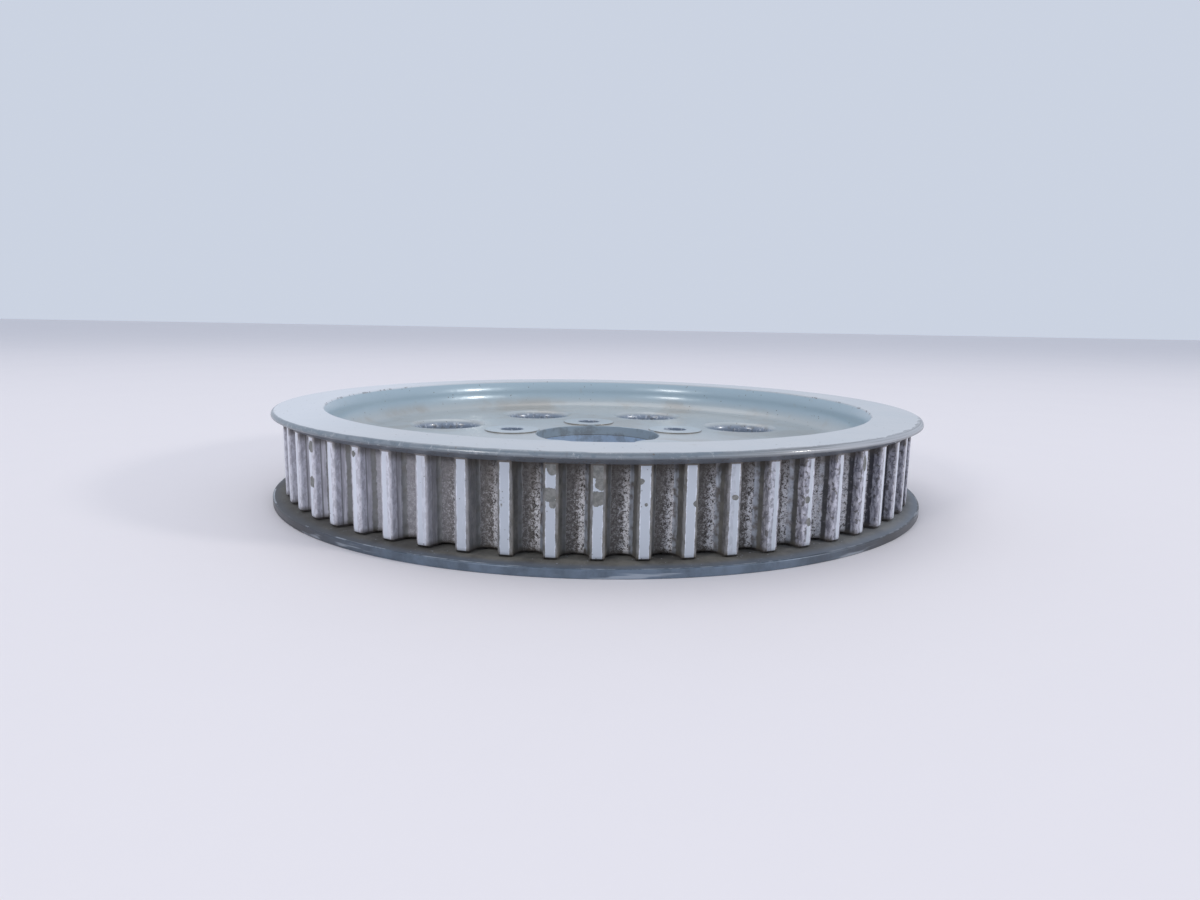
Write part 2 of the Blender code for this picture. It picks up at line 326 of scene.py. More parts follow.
def turned(name: str, outline: list[Point], steps: int, closed: bool = True) -> Workpiece:
    """A turned shape round the pulley's axis.

    Args:
        name: Name of the piece.
        outline: Its section, as points (out, up).
        steps: Number of steps in the turn.
        closed: Whether the section is a closed loop, not one that ends on the axis.

    Returns:
        The shape, still under work.
    """
    places = turned_places(outline)
    work = Workpiece(name, places[0])
    work.draw(places[1:], close=closed)
    work.spin(steps)
    return work


def round_tools(
    name: str, outline: list[Point], steps: int, circle: float, count: int, first: float
) -> bpy.types.Object:
    """Equal turned shapes on a circle, as one object that adds to or cuts from another.

    Args:
        name: Name of the object.
        outline: Section of one shape, as points (out, up) that start and end on its own axis.
        steps: Number of steps round one shape.
        circle: Radius of the circle that they stand on.
        count: How many there are.
        first: Angle of the first one, in degrees.

    Returns:
        The object.
    """
    places = turned_places(outline, circle)
    work = Workpiece(name, places[0])
    work.draw(places[1:])
    work.spin(steps, centre=(circle, 0.0))
    work.spin(count, copies=True)
    return work.leave(turn=first)


class Board:
    """A node tree with short ways to add the nodes that the finishes use."""

    def __init__(self, tree: bpy.types.NodeTree) -> None:
        """Takes the tree that nodes are added to."""
        self.tree = tree

    def add(self, kind: str, **settings: object) -> bpy.types.Node:
        """Adds a node of one kind with its settings."""
        node = self.tree.nodes.new(kind)
        for name, value in settings.items():
            setattr(node, name, value)
        return node

    def feed(self, target: Socket, source: Source) -> None:
        """Links a socket, or sets its own value.

        Args:
            target: The input.
            source: A socket, or the value.
        """
        if isinstance(source, Socket):
            self.tree.links.new(source, target)
        elif isinstance(source, tuple) and target.type == "RGBA":
            target.default_value = (*source[:3], 1.0)
        else:
            target.default_value = source

    def math(self, operation: str, *values: Source) -> Socket:
        """A Math node's result for one to three values."""
        node = self.add("ShaderNodeMath", operation=operation)
        for socket, value in zip(node.inputs, values):
            self.feed(socket, value)
        return node.outputs[0]

    def fold(self, operation: str, values: tuple[Source, ...]) -> Socket:
        """One Math operation taken through two or more values in turn."""
        return reduce(lambda so_far, value: self.math(operation, so_far, value), values)

    def times(self, *values: Source) -> Socket:
        """The product of two or more values."""
        return self.fold("MULTIPLY", values)

    def plus(self, *values: Source) -> Socket:
        """The sum of two or more values."""
        return self.fold("ADD", values)

    def minus(self, *values: Source) -> Socket:
        """The first value less the others."""
        return self.fold("SUBTRACT", values)

    def most(self, *values: Source) -> Socket:
        """The largest of two or more values."""
        return self.fold("MAXIMUM", values)

    def inverse(self, value: Source) -> Socket:
        """One less the value."""
        return self.minus(1.0, value)

    def ramp(self, value: Source, low: Source, high: Source, start: float = 0.0, end: float = 1.0) -> Socket:
        """A smooth change from start to end while the value goes from low to high."""
        node = self.add("ShaderNodeMapRange", interpolation_type="SMOOTHSTEP")
        for socket, source in zip(node.inputs, (value, low, high, start, end)):
            self.feed(socket, source)
        return node.outputs[0]

    def fall(self, value: Source, low: Source, high: Source) -> Socket:
        """A smooth fall from one to nought while the value goes from low to high."""
        return self.ramp(value, low, high, 1.0, 0.0)

    def band(self, value: Source, low: float, high: float, soft: float) -> Socket:
        """One between two values, falling to nought over a soft edge outside each."""
        return self.times(self.ramp(value, low - soft, low), self.fall(value, high, high + soft))

    def mix(self, share: Source, first: Source, second: Source, strength: float = 1.0) -> Socket:
        """A colour between two colours.

        Args:
            share: How much of the second colour shows, from 0 to 1.
            first: The first colour.
            second: The second colour.
            strength: What the share is multiplied by.

        Returns:
            The colour.
        """
        node = self.add("ShaderNodeMix", data_type="RGBA")
        self.feed(node.inputs["Factor"], share if strength == 1.0 else self.times(share, strength))
        colours = [socket for socket in node.inputs if socket.type == "RGBA"]
        self.feed(colours[0], first)
        self.feed(colours[1], second)
        return next(socket for socket in node.outputs if socket.type == "RGBA")

    def blend(self, share: Source, first: Source, second: Source) -> Socket:
        """A number between two numbers."""
        node = self.add("ShaderNodeMix", data_type="FLOAT")
        factor, _, low, high = node.inputs[:4]
        for socket, source in zip((factor, low, high), (share, first, second)):
            self.feed(socket, source)
        return node.outputs[0]

    def noise(self, vector: Source, scale: Source, detail: float = 3.0, rough: float = 0.5) -> Socket:
        """Cloudy noise from 0 to 1."""
        node = self.add("ShaderNodeTexNoise")
        self.feed(node.inputs["Vector"], vector)
        self.feed(node.inputs["Scale"], scale)
        node.inputs["Detail"].default_value = detail
        node.inputs["Roughness"].default_value = rough
        return node.outputs["Fac"]

    def cells(self, vector: Source, scale: Source) -> Socket:
        """Distance to the nearest of many scattered points, in cell widths."""
        node = self.add("ShaderNodeTexVoronoi")
        self.feed(node.inputs["Vector"], vector)
        self.feed(node.inputs["Scale"], scale)
        return node.outputs["Distance"]

    def vector(self, x: Source, y: Source, z: Source) -> Socket:
        """Three numbers as a vector."""
        node = self.add("ShaderNodeCombineXYZ")
        for socket, source in zip(node.inputs, (x, y, z)):
            self.feed(socket, source)
        return node.outputs[0]

    def parts(self, vector: Source) -> list[Socket]:
        """The three numbers of a vector."""
        node = self.add("ShaderNodeSeparateXYZ")
        self.feed(node.inputs[0], vector)
        return list(node.outputs)

    def place(self) -> Socket:
        """The piece's own coordinates, in metres."""
        return self.add("ShaderNodeTexCoord").outputs["Object"]

    def use(self, effect: "Effect", **sources: Source) -> dict[str, Socket]:
        """Places an effect, feeds its inputs and returns its outputs by name.

        Args:
            effect: The effect.
            **sources: Its inputs, with underscores for spaces.

        Returns:
            The outputs.
        """
        node = self.add("ShaderNodeGroup")
        node.node_tree = effect.tree
        for name, source in sources.items():
            self.feed(node.inputs[name.replace("_", " ")], source)
        return {socket.name: socket for socket in node.outputs}


class Effect:
    """A shader node group with named inputs and outputs, which any finish can use."""

    def __init__(self, name: str, inputs: str, outputs: str) -> None:
        """Makes the group and its sockets.

        Args:
            name: The group's name.
            inputs: Names of the inputs with commas between them. All take a number but the one named Vector.
            outputs: Names of the outputs, all of them numbers.
        """
        self.tree = bpy.data.node_groups.new(name, "ShaderNodeTree")
        for socket in inputs.split(", "):
            kind = "Vector" if socket == "Vector" else "Float"
            self.tree.interface.new_socket(name=socket, in_out="INPUT", socket_type=f"NodeSocket{kind}")
        for socket in outputs.split(", "):
            self.tree.interface.new_socket(name=socket, in_out="OUTPUT", socket_type="NodeSocketFloat")
        self.board = Board(self.tree)
        self.source = self.board.add("NodeGroupInput").outputs
        self.result = self.board.add("NodeGroupOutput").inputs

    def give(self, name: str, source: Source) -> None:
        """Links a value to an output."""
        self.board.feed(self.result[name], source)


class Effects:
    """The effects that the finishes share."""

    def __init__(self, sizes: PulleySizes) -> None:
        """Builds every effect once."""
        self.turned_place = self.make_turned_place()
        self.groove_place = self.make_groove_place(sizes)
        self.hole_place = self.make_hole_place()
        self.paint_chip = self.make_paint_chip()
        self.ragged = self.make_ragged()
        self.cast_grain = self.make_cast_grain()
        self.specks = self.make_specks()
        self.turning_marks = self.make_turning_marks()
        self.stains = self.make_stains()

    def make_turned_place(self) -> Effect:
        """Where a point lies round the pulley's axis."""
        effect = Effect("turned_place", "Vector", "Radius, Height, Turn")
        board = effect.board
        x, y, z = board.parts(effect.source["Vector"])
        effect.give("Radius", board.math("SQRT", board.plus(board.times(x, x), board.times(y, y))))
        effect.give("Height", z)
        effect.give("Turn", board.math("ARCTAN2", y, x))
        return effect

    def make_groove_place(self, sizes: PulleySizes) -> Effect:
        """Where a point lies in its groove and on its land. Lands are counted from the first."""
        effect = Effect("groove_place", "Radius, Turn", "Groove Across, Land Across, Land, Depth")
        board = effect.board
        step = math.radians(sizes.tooth_step)
        radius, turn = effect.source["Radius"], effect.source["Turn"]
        count = board.math("DIVIDE", board.minus(turn, math.radians(sizes.first_land)), step)
        arc_length = board.times(radius, step)
        effect.give("Groove Across", board.times(board.minus(board.math("FRACT", count), 0.5), arc_length))
        land = board.math("FLOOR", board.plus(count, 0.5))
        effect.give("Land", land)
        effect.give("Land Across", board.times(board.minus(count, land), arc_length))
        effect.give("Depth", board.minus(sizes.land_radius, radius))
        return effect

    def make_hole_place(self) -> Effect:
        """How far a point lies from the axis of the nearest hole of a round pattern."""
        effect = Effect("hole_place", "Radius, Turn, Step, First, Circle", "Distance")
        board, source = effect.board, effect.source
        out, step, circle = source["Radius"], source["Step"], source["Circle"]
        count = board.math("DIVIDE", board.minus(source["Turn"], source["First"]), step)
        angle = board.times(board.minus(count, board.math("ROUND", count)), step)
        squares = board.plus(board.times(out, out), board.times(circle, circle))
        twice = board.times(2.0, out, circle, board.math("COSINE", angle))
        effect.give("Distance", board.math("SQRT", board.minus(squares, twice)))
        return effect

    def make_paint_chip(self) -> Effect:
        """One chip in the paint of a land, oval with a ragged outline."""
        names = "Land, Across, Height, Ragged, Chip Land, Chip Across, Chip Height, Half Width, Half Height"
        effect = Effect("paint_chip", names, "Mask")
        board, source = effect.board, effect.source
        same = board.math("COMPARE", source["Land"], source["Chip Land"], 0.5)
        across = board.minus(source["Across"], source["Chip Across"])
        along = board.minus(source["Height"], source["Chip Height"])
        across = board.math("DIVIDE", across, source["Half Width"])
        along = board.math("DIVIDE", along, source["Half Height"])
        far = board.plus(board.times(across, across), board.times(along, along), source["Ragged"])
        effect.give("Mask", board.times(same, board.fall(far, 0.92, 1.06)))
        return effect

    def make_ragged(self) -> Effect:
        """A step at an edge that wanders, for worn paint and the ends of dirt."""
        effect = Effect("ragged_edge", "Vector, Value, Edge, Soft, Wander, Scale", "Mask")
        board, source = effect.board, effect.source
        noise = board.noise(source["Vector"], source["Scale"], 4.0, 0.6)
        value = board.plus(source["Value"], board.times(board.minus(noise, 0.5), source["Wander"]))
        edge, soft = source["Edge"], source["Soft"]
        effect.give("Mask", board.ramp(value, board.minus(edge, soft), board.plus(edge, soft)))
        return effect

    def make_cast_grain(self) -> Effect:
        """The lumps and pits of an as-cast skin, with its bright tops and dark pits."""
        effect = Effect("cast_grain", "Vector, Scale", "Height, Bright, Dark")
        board, source = effect.board, effect.source
        coarse = board.noise(source["Vector"], source["Scale"], 6.0, 0.72)
        fine = board.noise(source["Vector"], board.times(source["Scale"], 2.7), 3.0, 0.6)
        height = board.plus(board.times(coarse, 0.62), board.times(fine, 0.38))
        effect.give("Height", height)
        effect.give("Bright", board.ramp(height, 0.51, 0.57))
        effect.give("Dark", board.fall(height, 0.42, 0.49))
        return effect

    def make_specks(self) -> Effect:
        """Scattered round specks of dirt, thick in some places and absent in others."""
        effect = Effect("dirt_specks", "Vector, Scale, Size, Share", "Mask")
        board, source = effect.board, effect.source
        size, share = source["Size"], source["Share"]
        near = board.cells(source["Vector"], source["Scale"])
        dots = board.fall(near, size, board.plus(size, 0.06))
        patch = board.noise(source["Vector"], board.times(source["Scale"], 0.3), 2.0)
        gate = board.ramp(patch, board.minus(0.72, share), board.minus(0.76, share))
        effect.give("Mask", board.times(dots, gate))
        return effect

    def make_turning_marks(self) -> Effect:
        """Fine rings and streaks that run round the axis, from turning and from handling."""
        effect = Effect("turning_marks", "Radius, Height, Turn, Fineness", "Rings, Scuffs")
        board, source = effect.board, effect.source
        out = board.times(source["Radius"], source["Fineness"])
        up = board.times(source["Height"], source["Fineness"])
        rings = board.noise(board.vector(out, up, board.times(source["Turn"], 1.5)), 1.0, 3.0, 0.7)
        long = board.noise(board.vector(out, up, board.times(source["Turn"], 9.0)), 0.55, 2.0, 0.6)
        effect.give("Rings", rings)
        effect.give("Scuffs", board.ramp(long, 0.6, 0.68))
        return effect

    def make_stains(self) -> Effect:
        """Broad soft patches of grime."""
        effect = Effect("grime_stains", "Vector, Scale, Share", "Mask")
        board, source = effect.board, effect.source
        cloud = board.noise(source["Vector"], source["Scale"], 5.0, 0.62)
        low = board.minus(0.78, source["Share"])
        effect.give("Mask", board.ramp(cloud, low, board.plus(low, 0.16)))
        return effect


class Finish:
    """A material under work: its board, its Principled shader and its place nodes."""

    def __init__(self, name: str, effects: Effects) -> None:
        """Starts a material.

        Args:
            name: The material's name.
            effects: The shared effects.
        """
        self.material = bpy.data.materials.new(name)
        self.material.use_nodes = True
        self.board = Board(self.material.node_tree)
        self.shader = self.material.node_tree.nodes["Principled BSDF"]
        self.effects = effects
        self.place = self.board.place()
        self.x, self.y, self.z = self.board.parts(self.place)
        where = self.board.use(effects.turned_place, Vector=self.place)
        self.radius, self.height, self.turn = where["Radius"], where["Height"], where["Turn"]

    def set(self, **sources: Source) -> None:
        """Feeds the shader's sockets, named with underscores for spaces."""
        for name, source in sources.items():
            self.board.feed(self.shader.inputs[name.replace("_", " ")], source)

    def bump(self, height: Source, depth: float) -> None:
        """Gives the surface a relief.

        Args:
            height: The relief, from 0 to 1.
            depth: What 1 is in metres.
        """
        node = self.board.add("ShaderNodeBump")
        node.inputs["Distance"].default_value = depth
        self.board.feed(node.inputs["Height"], height)
        self.set(Normal=node.outputs["Normal"])

    def patches(self, scale: float, detail: float, rough: float, low: float, high: float) -> Socket:
        """Patches of noise: nought where it is below the low value, one where it is above the high one."""
        return self.board.ramp(self.board.noise(self.place, scale, detail, rough), low, high)

    def sideways(self, radius: float, low: float, high: float) -> Socket:
        """Rises from nought to one along the X axis, between two shares of a radius."""
        return self.board.ramp(self.x, low * radius, high * radius)

    def between_turns(self, value: Source, low: float, high: float) -> Socket:
        """Rises from nought to one while an angle goes from low to high, both in degrees."""
        return self.board.ramp(value, math.radians(low), math.radians(high))

    def ragged(self, value: Source, edge: float, soft: float, wander: float, scale: float) -> Socket:
        """A step at a wandering edge."""
        named = {"Value": value, "Edge": edge, "Soft": soft, "Wander": wander, "Scale": scale}
        return self.board.use(self.effects.ragged, Vector=self.place, **named)["Mask"]

    def from_hole(self, count: int, first: float, circle: float) -> Socket:
        """Distance to the axis of the nearest hole of a round pattern."""
        named = {"Step": math.tau / count, "First": math.radians(first), "Circle": circle}
        place = self.board.use(self.effects.hole_place, Radius=self.radius, Turn=self.turn, **named)
        return place["Distance"]

    def streaks(self, scale: float, stretch: float, low: float, high: float) -> Socket:
        """Patches of noise drawn out along the pulley's axis."""
        across = [self.board.times(part, scale) for part in (self.x, self.y)]
        drawn = self.board.vector(*across, self.board.times(self.z, scale / stretch))
        return self.board.ramp(self.board.noise(drawn, 1.0, 4.0, 0.65), low, high)

    def stains(self, scale: float, share: float) -> Socket:
        """Soft grime patches."""
        return self.board.use(self.effects.stains, Vector=self.place, Scale=scale, Share=share)["Mask"]

    def specks(self, scale: float, size: float, share: float) -> Socket:
        """Scattered specks."""
        named = {"Scale": scale, "Size": size, "Share": share}
        return self.board.use(self.effects.specks, Vector=self.place, **named)["Mask"]

    def grain(self, scale: float) -> dict[str, Socket]:
        """Cast grain."""
        return self.board.use(self.effects.cast_grain, Vector=self.place, Scale=scale)

    def marks(self, fineness: float) -> dict[str, Socket]:
        """Turning marks and scuffs."""
        named = {"Radius": self.radius, "Height": self.height, "Turn": self.turn, "Fineness": fineness}
        return self.board.use(self.effects.turning_marks, **named)


@dataclass(frozen=True)
class Look:
    """The finish of one kind of piece: its colours, and its own way to paint a material."""

    name: str

    def make(self, effects: Effects, sizes: PulleySizes) -> bpy.types.Material:
        """Builds the material.

        Args:
            effects: The shared effects.
            sizes: The pulley's sizes.

        Returns:
            The material.
        """
        work = Finish(self.name, effects)
        self.paint_on(work, sizes)
        return work.material

    def paint_on(self, work: Finish, sizes: PulleySizes) -> None:
        """Paints the material under work."""
        raise NotImplementedError


@dataclass(frozen=True)
class BodyFinish(Look):
    """Thick silver-grey paint over a casting, with a warm, stained web and bare machined bore."""

    name: str = "silver_paint_on_casting"
    paint: Colour = srgb(192, 196, 199)
    cool: Colour = srgb(186, 193, 198)
    # painted light: the paler paint colour on the pulley's left side stands for light falling there
    faded: Colour = srgb(226, 230, 236)
    # painted shade: the dish wall's darker, cooler colour stands for the shade inside the dish
    wall: Colour = srgb(156, 178, 190)
    web: Colour = srgb(172, 178, 179)
    seat: Colour = srgb(180, 194, 202)
    # painted highlight: glints on the walls of the holes
    painted_glint: Colour = srgb(206, 214, 224)
    grime: Colour = srgb(150, 140, 126)
    speck: Colour = srgb(92, 86, 76)
    bare: Colour = srgb(164, 168, 174)
    bare_dark: Colour = srgb(112, 115, 118)
    edge: Colour = srgb(110, 122, 132)
    # painted shade on the lower half of the flange's rounded edge
    edge_shade_below: Colour = srgb(98, 106, 114)
    # dust on the flange's edge, and dust with painted shade under the upper flange
    dust: Colour = srgb(104, 110, 118)
    rust: Colour = srgb(92, 70, 56)
    # painted shade: the darker, bluish colour of the holes' walls
    hole: Colour = srgb(128, 142, 162)
    bore_low: Colour = srgb(164, 184, 206)
    bore_high: Colour = srgb(154, 168, 178)
    underside: Colour = srgb(118, 118, 114)
    holes_end: float = 100.0 * MM
    coat: float = 0.5
    coat_roughness: float = 0.13
    relief_depth: float = 0.35 * MM

    def paint_on(self, work: Finish, sizes: PulleySizes) -> None:
        """Paints the faces, then the worn places, the flange's underside with its dust and painted shade, and
        the machined and hidden places over them.
        """
        board = work.board
        tone = board.noise(work.place, 38.0, 4.0, 0.6)
        colour = self.faces(work, sizes, tone)
        rings = work.marks(1400.0)["Rings"]
        wear = self.wear(work, sizes)
        colour = board.mix(wear, colour, board.mix(board.ramp(rings, 0.4, 0.62), self.bare, self.bare_dark))
        below = self.below_flange(work, sizes)
        # Dust and painted shade on the sloping underside of the upper flange, with rust specks.
        colour = board.mix(below, colour, board.mix(work.specks(900.0, 0.2, 0.3), self.dust, self.rust))
        bore = board.ramp(work.radius, sizes.bore_radius + 0.95 * MM, sizes.bore_radius + 0.65 * MM)
        colour = board.mix(bore, colour, self.machined(work, sizes))
        hidden = board.ramp(work.height, sizes.web_bottom + 1.1 * MM, sizes.web_bottom + 0.2 * MM)
        hidden = board.times(hidden, board.inverse(bore))
        colour = board.mix(hidden, colour, board.mix(work.stains(60.0, 0.3), self.underside, self.grime))
        uneven = board.noise(work.place, 140.0, 3.0, 0.5)
        relief = board.plus(board.times(uneven, 0.5), board.times(work.grain(850.0)["Height"], 0.12))
        relief = board.plus(relief, board.times(rings, board.times(bore, 0.2)))
        relief = board.minus(relief, board.times(wear, 0.25))
        roughness = board.plus(0.24, board.times(tone, 0.14))
        roughness = board.blend(board.most(wear, below, hidden), roughness, 0.55)
        coated = board.times(board.inverse(board.most(bore, below, hidden)), self.coat)
        work.set(Base_Color=colour, Roughness=roughness, Metallic=board.blend(bore, 0.12, 0.3))
        work.set(Coat_Weight=coated, Coat_Roughness=self.coat_roughness)
        work.bump(relief, self.relief_depth)

    def faces(self, work: Finish, sizes: PulleySizes, tone: Source) -> Socket:
        """The painted faces, from the whole casting to the dish, the web, the holes and the edge, with
        painted light on the left side and painted shade in the dish and the holes.
        """
        board = work.board
        colour = board.mix(board.ramp(tone, 0.35, 0.7), self.paint, self.cool)
        # Painted light: the paint grows paler towards the pulley's left, where the light falls.
        colour = board.mix(work.sideways(sizes.land_radius, -0.4, -0.9), colour, self.faded, 0.75)
        in_dish = board.times(
            board.fall(work.radius, sizes.dish_lip - 0.3 * MM, sizes.dish_lip + 0.1 * MM),
            board.ramp(work.height, sizes.web_bottom + 0.5 * MM, sizes.web_bottom + 1.5 * MM),
        )
        # Painted shade: the dish is painted darker and cooler for the shade inside it; the web colour goes
        # over its floor.
        colour = board.mix(in_dish, colour, self.wall, 0.9)
        low = board.fall(work.height, sizes.web_top + 1.3 * MM, sizes.web_top + 7.8 * MM)
        on_web = board.times(in_dish, low)
        colour = board.mix(on_web, colour, self.web, 0.9)
        colour = board.mix(board.times(on_web, work.stains(26.0, 0.30)), colour, self.grime, 0.45)
        colour = self.paint_holes(work, sizes, colour)
        colour = self.paint_edge(work, sizes, colour)
        colour = board.mix(work.stains(160.0, 0.16), colour, self.grime, 0.35)
        return board.mix(work.specks(420.0, 0.10, 0.18), colour, self.speck, 0.8)

    def machined(self, work: Finish, sizes: PulleySizes) -> Socket:
        """The bare bore, with its stains and the dark line at the register's step."""
        board = work.board
        step = sizes.register_level
        above = board.ramp(work.height, step - 0.2 * MM, step + 0.1 * MM)
        metal = board.mix(above, self.bore_low, self.bore_high)
        metal = board.mix(work.stains(120.0, 0.3), metal, self.speck, 0.4)
        line = board.band(work.height, step - 0.12 * MM, step + 0.06 * MM, 0.06 * MM)
        return board.mix(line, metal, self.speck, 0.7)

    def paint_holes(self, work: Finish, sizes: PulleySizes, colour: Source) -> Socket:
        """The web's holes and bolt seats: walls painted darker and bluish as shade, with painted glints and
        dark specks, and a dark line round each seat.
        """
        board, height, seat = work.board, work.height, sizes.bolt_seat
        away = board.times(
            board.ramp(work.radius, sizes.bore_radius + 3.0 * MM, sizes.bore_radius + 3.5 * MM),
            board.fall(work.radius, self.holes_end, self.holes_end + 1.0 * MM),
        )
        holes = board.times(away, board.ramp(height, sizes.web_top - 0.5 * MM, sizes.web_top - 2.6 * MM))
        bolt = work.from_hole(sizes.bolt_count, sizes.first_bolt, sizes.bolt_circle)
        inside = board.ramp(bolt, sizes.bolt_hole + 0.3 * MM, sizes.bolt_hole + 0.1 * MM)
        # Painted shade on the holes' walls, broken by patches of painted glints; dark specks follow.
        wall = board.mix(work.patches(520.0, 3.0, 0.6, 0.56, 0.64), self.hole, self.painted_glint, 0.7)
        wall = board.mix(work.patches(330.0, 4.0, 0.6, 0.56, 0.62), wall, self.speck, 0.5)
        colour = board.mix(board.most(holes, inside), colour, wall, 0.9)
        on_seat = board.ramp(bolt, seat + 0.1 * MM, seat - 0.3 * MM)
        raised = board.ramp(height, sizes.web_top + 0.3 * MM, sizes.web_top + 0.55 * MM)
        colour = board.mix(board.times(on_seat, raised), colour, self.seat, 0.55)
        near = board.band(bolt, sizes.bolt_hole, sizes.bolt_hole + 1.4 * MM, 0.5 * MM)
        chipped = board.times(work.patches(300.0, 4.0, 0.7, 0.54, 0.6), near, raised)
        colour = board.mix(chipped, colour, self.bare, 0.8)
        line = board.band(bolt, seat - 0.1 * MM, seat + 0.3 * MM, 0.15 * MM)
        line = board.times(line, board.ramp(height, sizes.web_top + 0.5 * MM, sizes.web_top + 0.4 * MM))
        return board.mix(line, colour, self.speck, 0.85)

    def paint_edge(self, work: Finish, sizes: PulleySizes, colour: Source) -> Socket:
        """The upper flange's rounded outer edge: dull and mottled, with painted shade on its lower half."""
        board = work.board
        edge = work.ragged(work.radius, sizes.flange_radius - 1.15 * MM, 0.35 * MM, 0.9 * MM, 150.0)
        # Painted shade: the lower half of the rounded edge, which faces down, is painted darker.
        low = board.ramp(work.height, sizes.top_face - 1.0 * MM, sizes.top_face - 2.0 * MM)
        side = board.mix(low, self.edge, self.edge_shade_below)
        mottle = board.noise(work.place, 480.0, 5.0, 0.7)
        side = board.mix(board.ramp(mottle, 0.54, 0.66), side, self.dust, 0.6)
        side = board.mix(board.ramp(mottle, 0.43, 0.36), side, self.paint, 0.35)
        return board.mix(edge, colour, side)

    def wear(self, work: Finish, sizes: PulleySizes) -> Socket:
        """Where the paint is worn off: on the dish's upper edge and the upper flange's outer edge."""
        board = work.board
        side = board.times(
            work.between_turns(work.turn, -80.0, -62.0), work.between_turns(work.turn, -8.0, -22.0)
        )
        reach = board.plus(work.radius, board.times(side, 1.8 * MM))
        outer = work.ragged(reach, sizes.flange_radius - 0.3 * MM, 0.12 * MM, 6.0 * MM, 170.0)
        outer = board.times(outer, board.blend(side, 0.25, 0.95))
        lip = board.band(work.radius, sizes.dish_lip - 0.2 * MM, sizes.dish_lip + 0.35 * MM, 0.15 * MM)
        high = board.ramp(work.height, sizes.top_face - 1.2 * MM, sizes.top_face - 0.6 * MM)
        rough = work.patches(240.0, 4.0, 0.65, 0.54, 0.6)
        from_back = board.math("ABSOLUTE", board.minus(work.turn, math.radians(90.0)))
        sides = work.between_turns(from_back, 50.0, 65.0)
        return board.most(outer, board.times(lip, high, rough, sides))

    def below_flange(self, work: Finish, sizes: PulleySizes) -> Socket:
        """The sloping underside of the upper flange, darker with belt dust and with painted shade where the
        flange hangs over.
        """
        board = work.board
        under = board.ramp(work.height, sizes.land_top + 2.3 * MM, sizes.land_top + 1.7 * MM)
        out = board.ramp(work.radius, sizes.spigot_radius + 0.45 * MM, sizes.spigot_radius + 1.45 * MM)
        return board.times(under, out)


@dataclass(frozen=True)
class Chip:
    """A chip in a land's paint: the land, its middle and its half sizes in millimetres."""

    land: int
    across: float
    height: float
    half_width: float
    half_height: float


CHIPS: tuple[Chip, ...] = (
    Chip(0, 0.5, 31.6, 1.9, 2.2),
    Chip(0, -0.4, 23.6, 2.3, 2.2),
    Chip(0, 0.6, 21.2, 1.0, 1.7),
    Chip(1, 0.0, 31.0, 2.6, 2.6),
    Chip(1, 0.7, 28.0, 1.5, 3.0),
    Chip(1, -0.3, 22.8, 2.8, 2.2),
    Chip(2, -1.6, 28.0, 1.1, 1.0),
    Chip(2, 0.3, 21.0, 0.5, 0.5),
    Chip(3, 1.6, 21.0, 1.0, 0.9),
    Chip(4, 0.2, 22.3, 1.1, 0.8),
    Chip(6, -0.4, 19.5, 1.0, 1.2),
    Chip(6, 0.6, 12.0, 0.9, 1.5),
    Chip(8, 0.0, 28.5, 1.0, 3.0),
    Chip(-7, 0.7, 29.4, 2.4, 2.0),
    Chip(-7, 0.4, 17.2, 2.8, 1.8),
    Chip(-5, -0.6, 30.2, 1.0, 1.1),
)


class RimPlace:
    """Where a point lies on the toothed rim: in its groove, on its land and round the pulley's sides."""

    def __init__(self, work: Finish, sizes: PulleySizes) -> None:
        """Adds the nodes that the rim's layers of colour share."""
        board = work.board
        where = board.use(work.effects.groove_place, Radius=work.radius, Turn=work.turn)
        self.across, self.land_across = where["Groove Across"], where["Land Across"]
        self.land, self.depth = where["Land"], where["Depth"]
        self.wide = board.math("ABSOLUTE", self.across)
        self.left_wall = board.ramp(self.across, 1.2 * MM, -1.6 * MM)
        self.right_wall = board.inverse(self.left_wall)
        self.to_left = work.sideways(sizes.land_radius, -0.2, -0.6)
        self.to_right = work.sideways(sizes.land_radius, 0.35, 0.75)
        self.to_worn = work.sideways(sizes.land_radius, 0.2, 0.5)
        self.to_rubbed = work.ragged(self.wide, 2.75 * MM, 0.12 * MM, 0.9 * MM, 600.0)
        self.to_flank = work.ragged(self.wide, 3.85 * MM, 0.15 * MM, 0.6 * MM, 400.0)
        self.deep = board.ramp(self.depth, 0.25 * MM, 0.55 * MM)


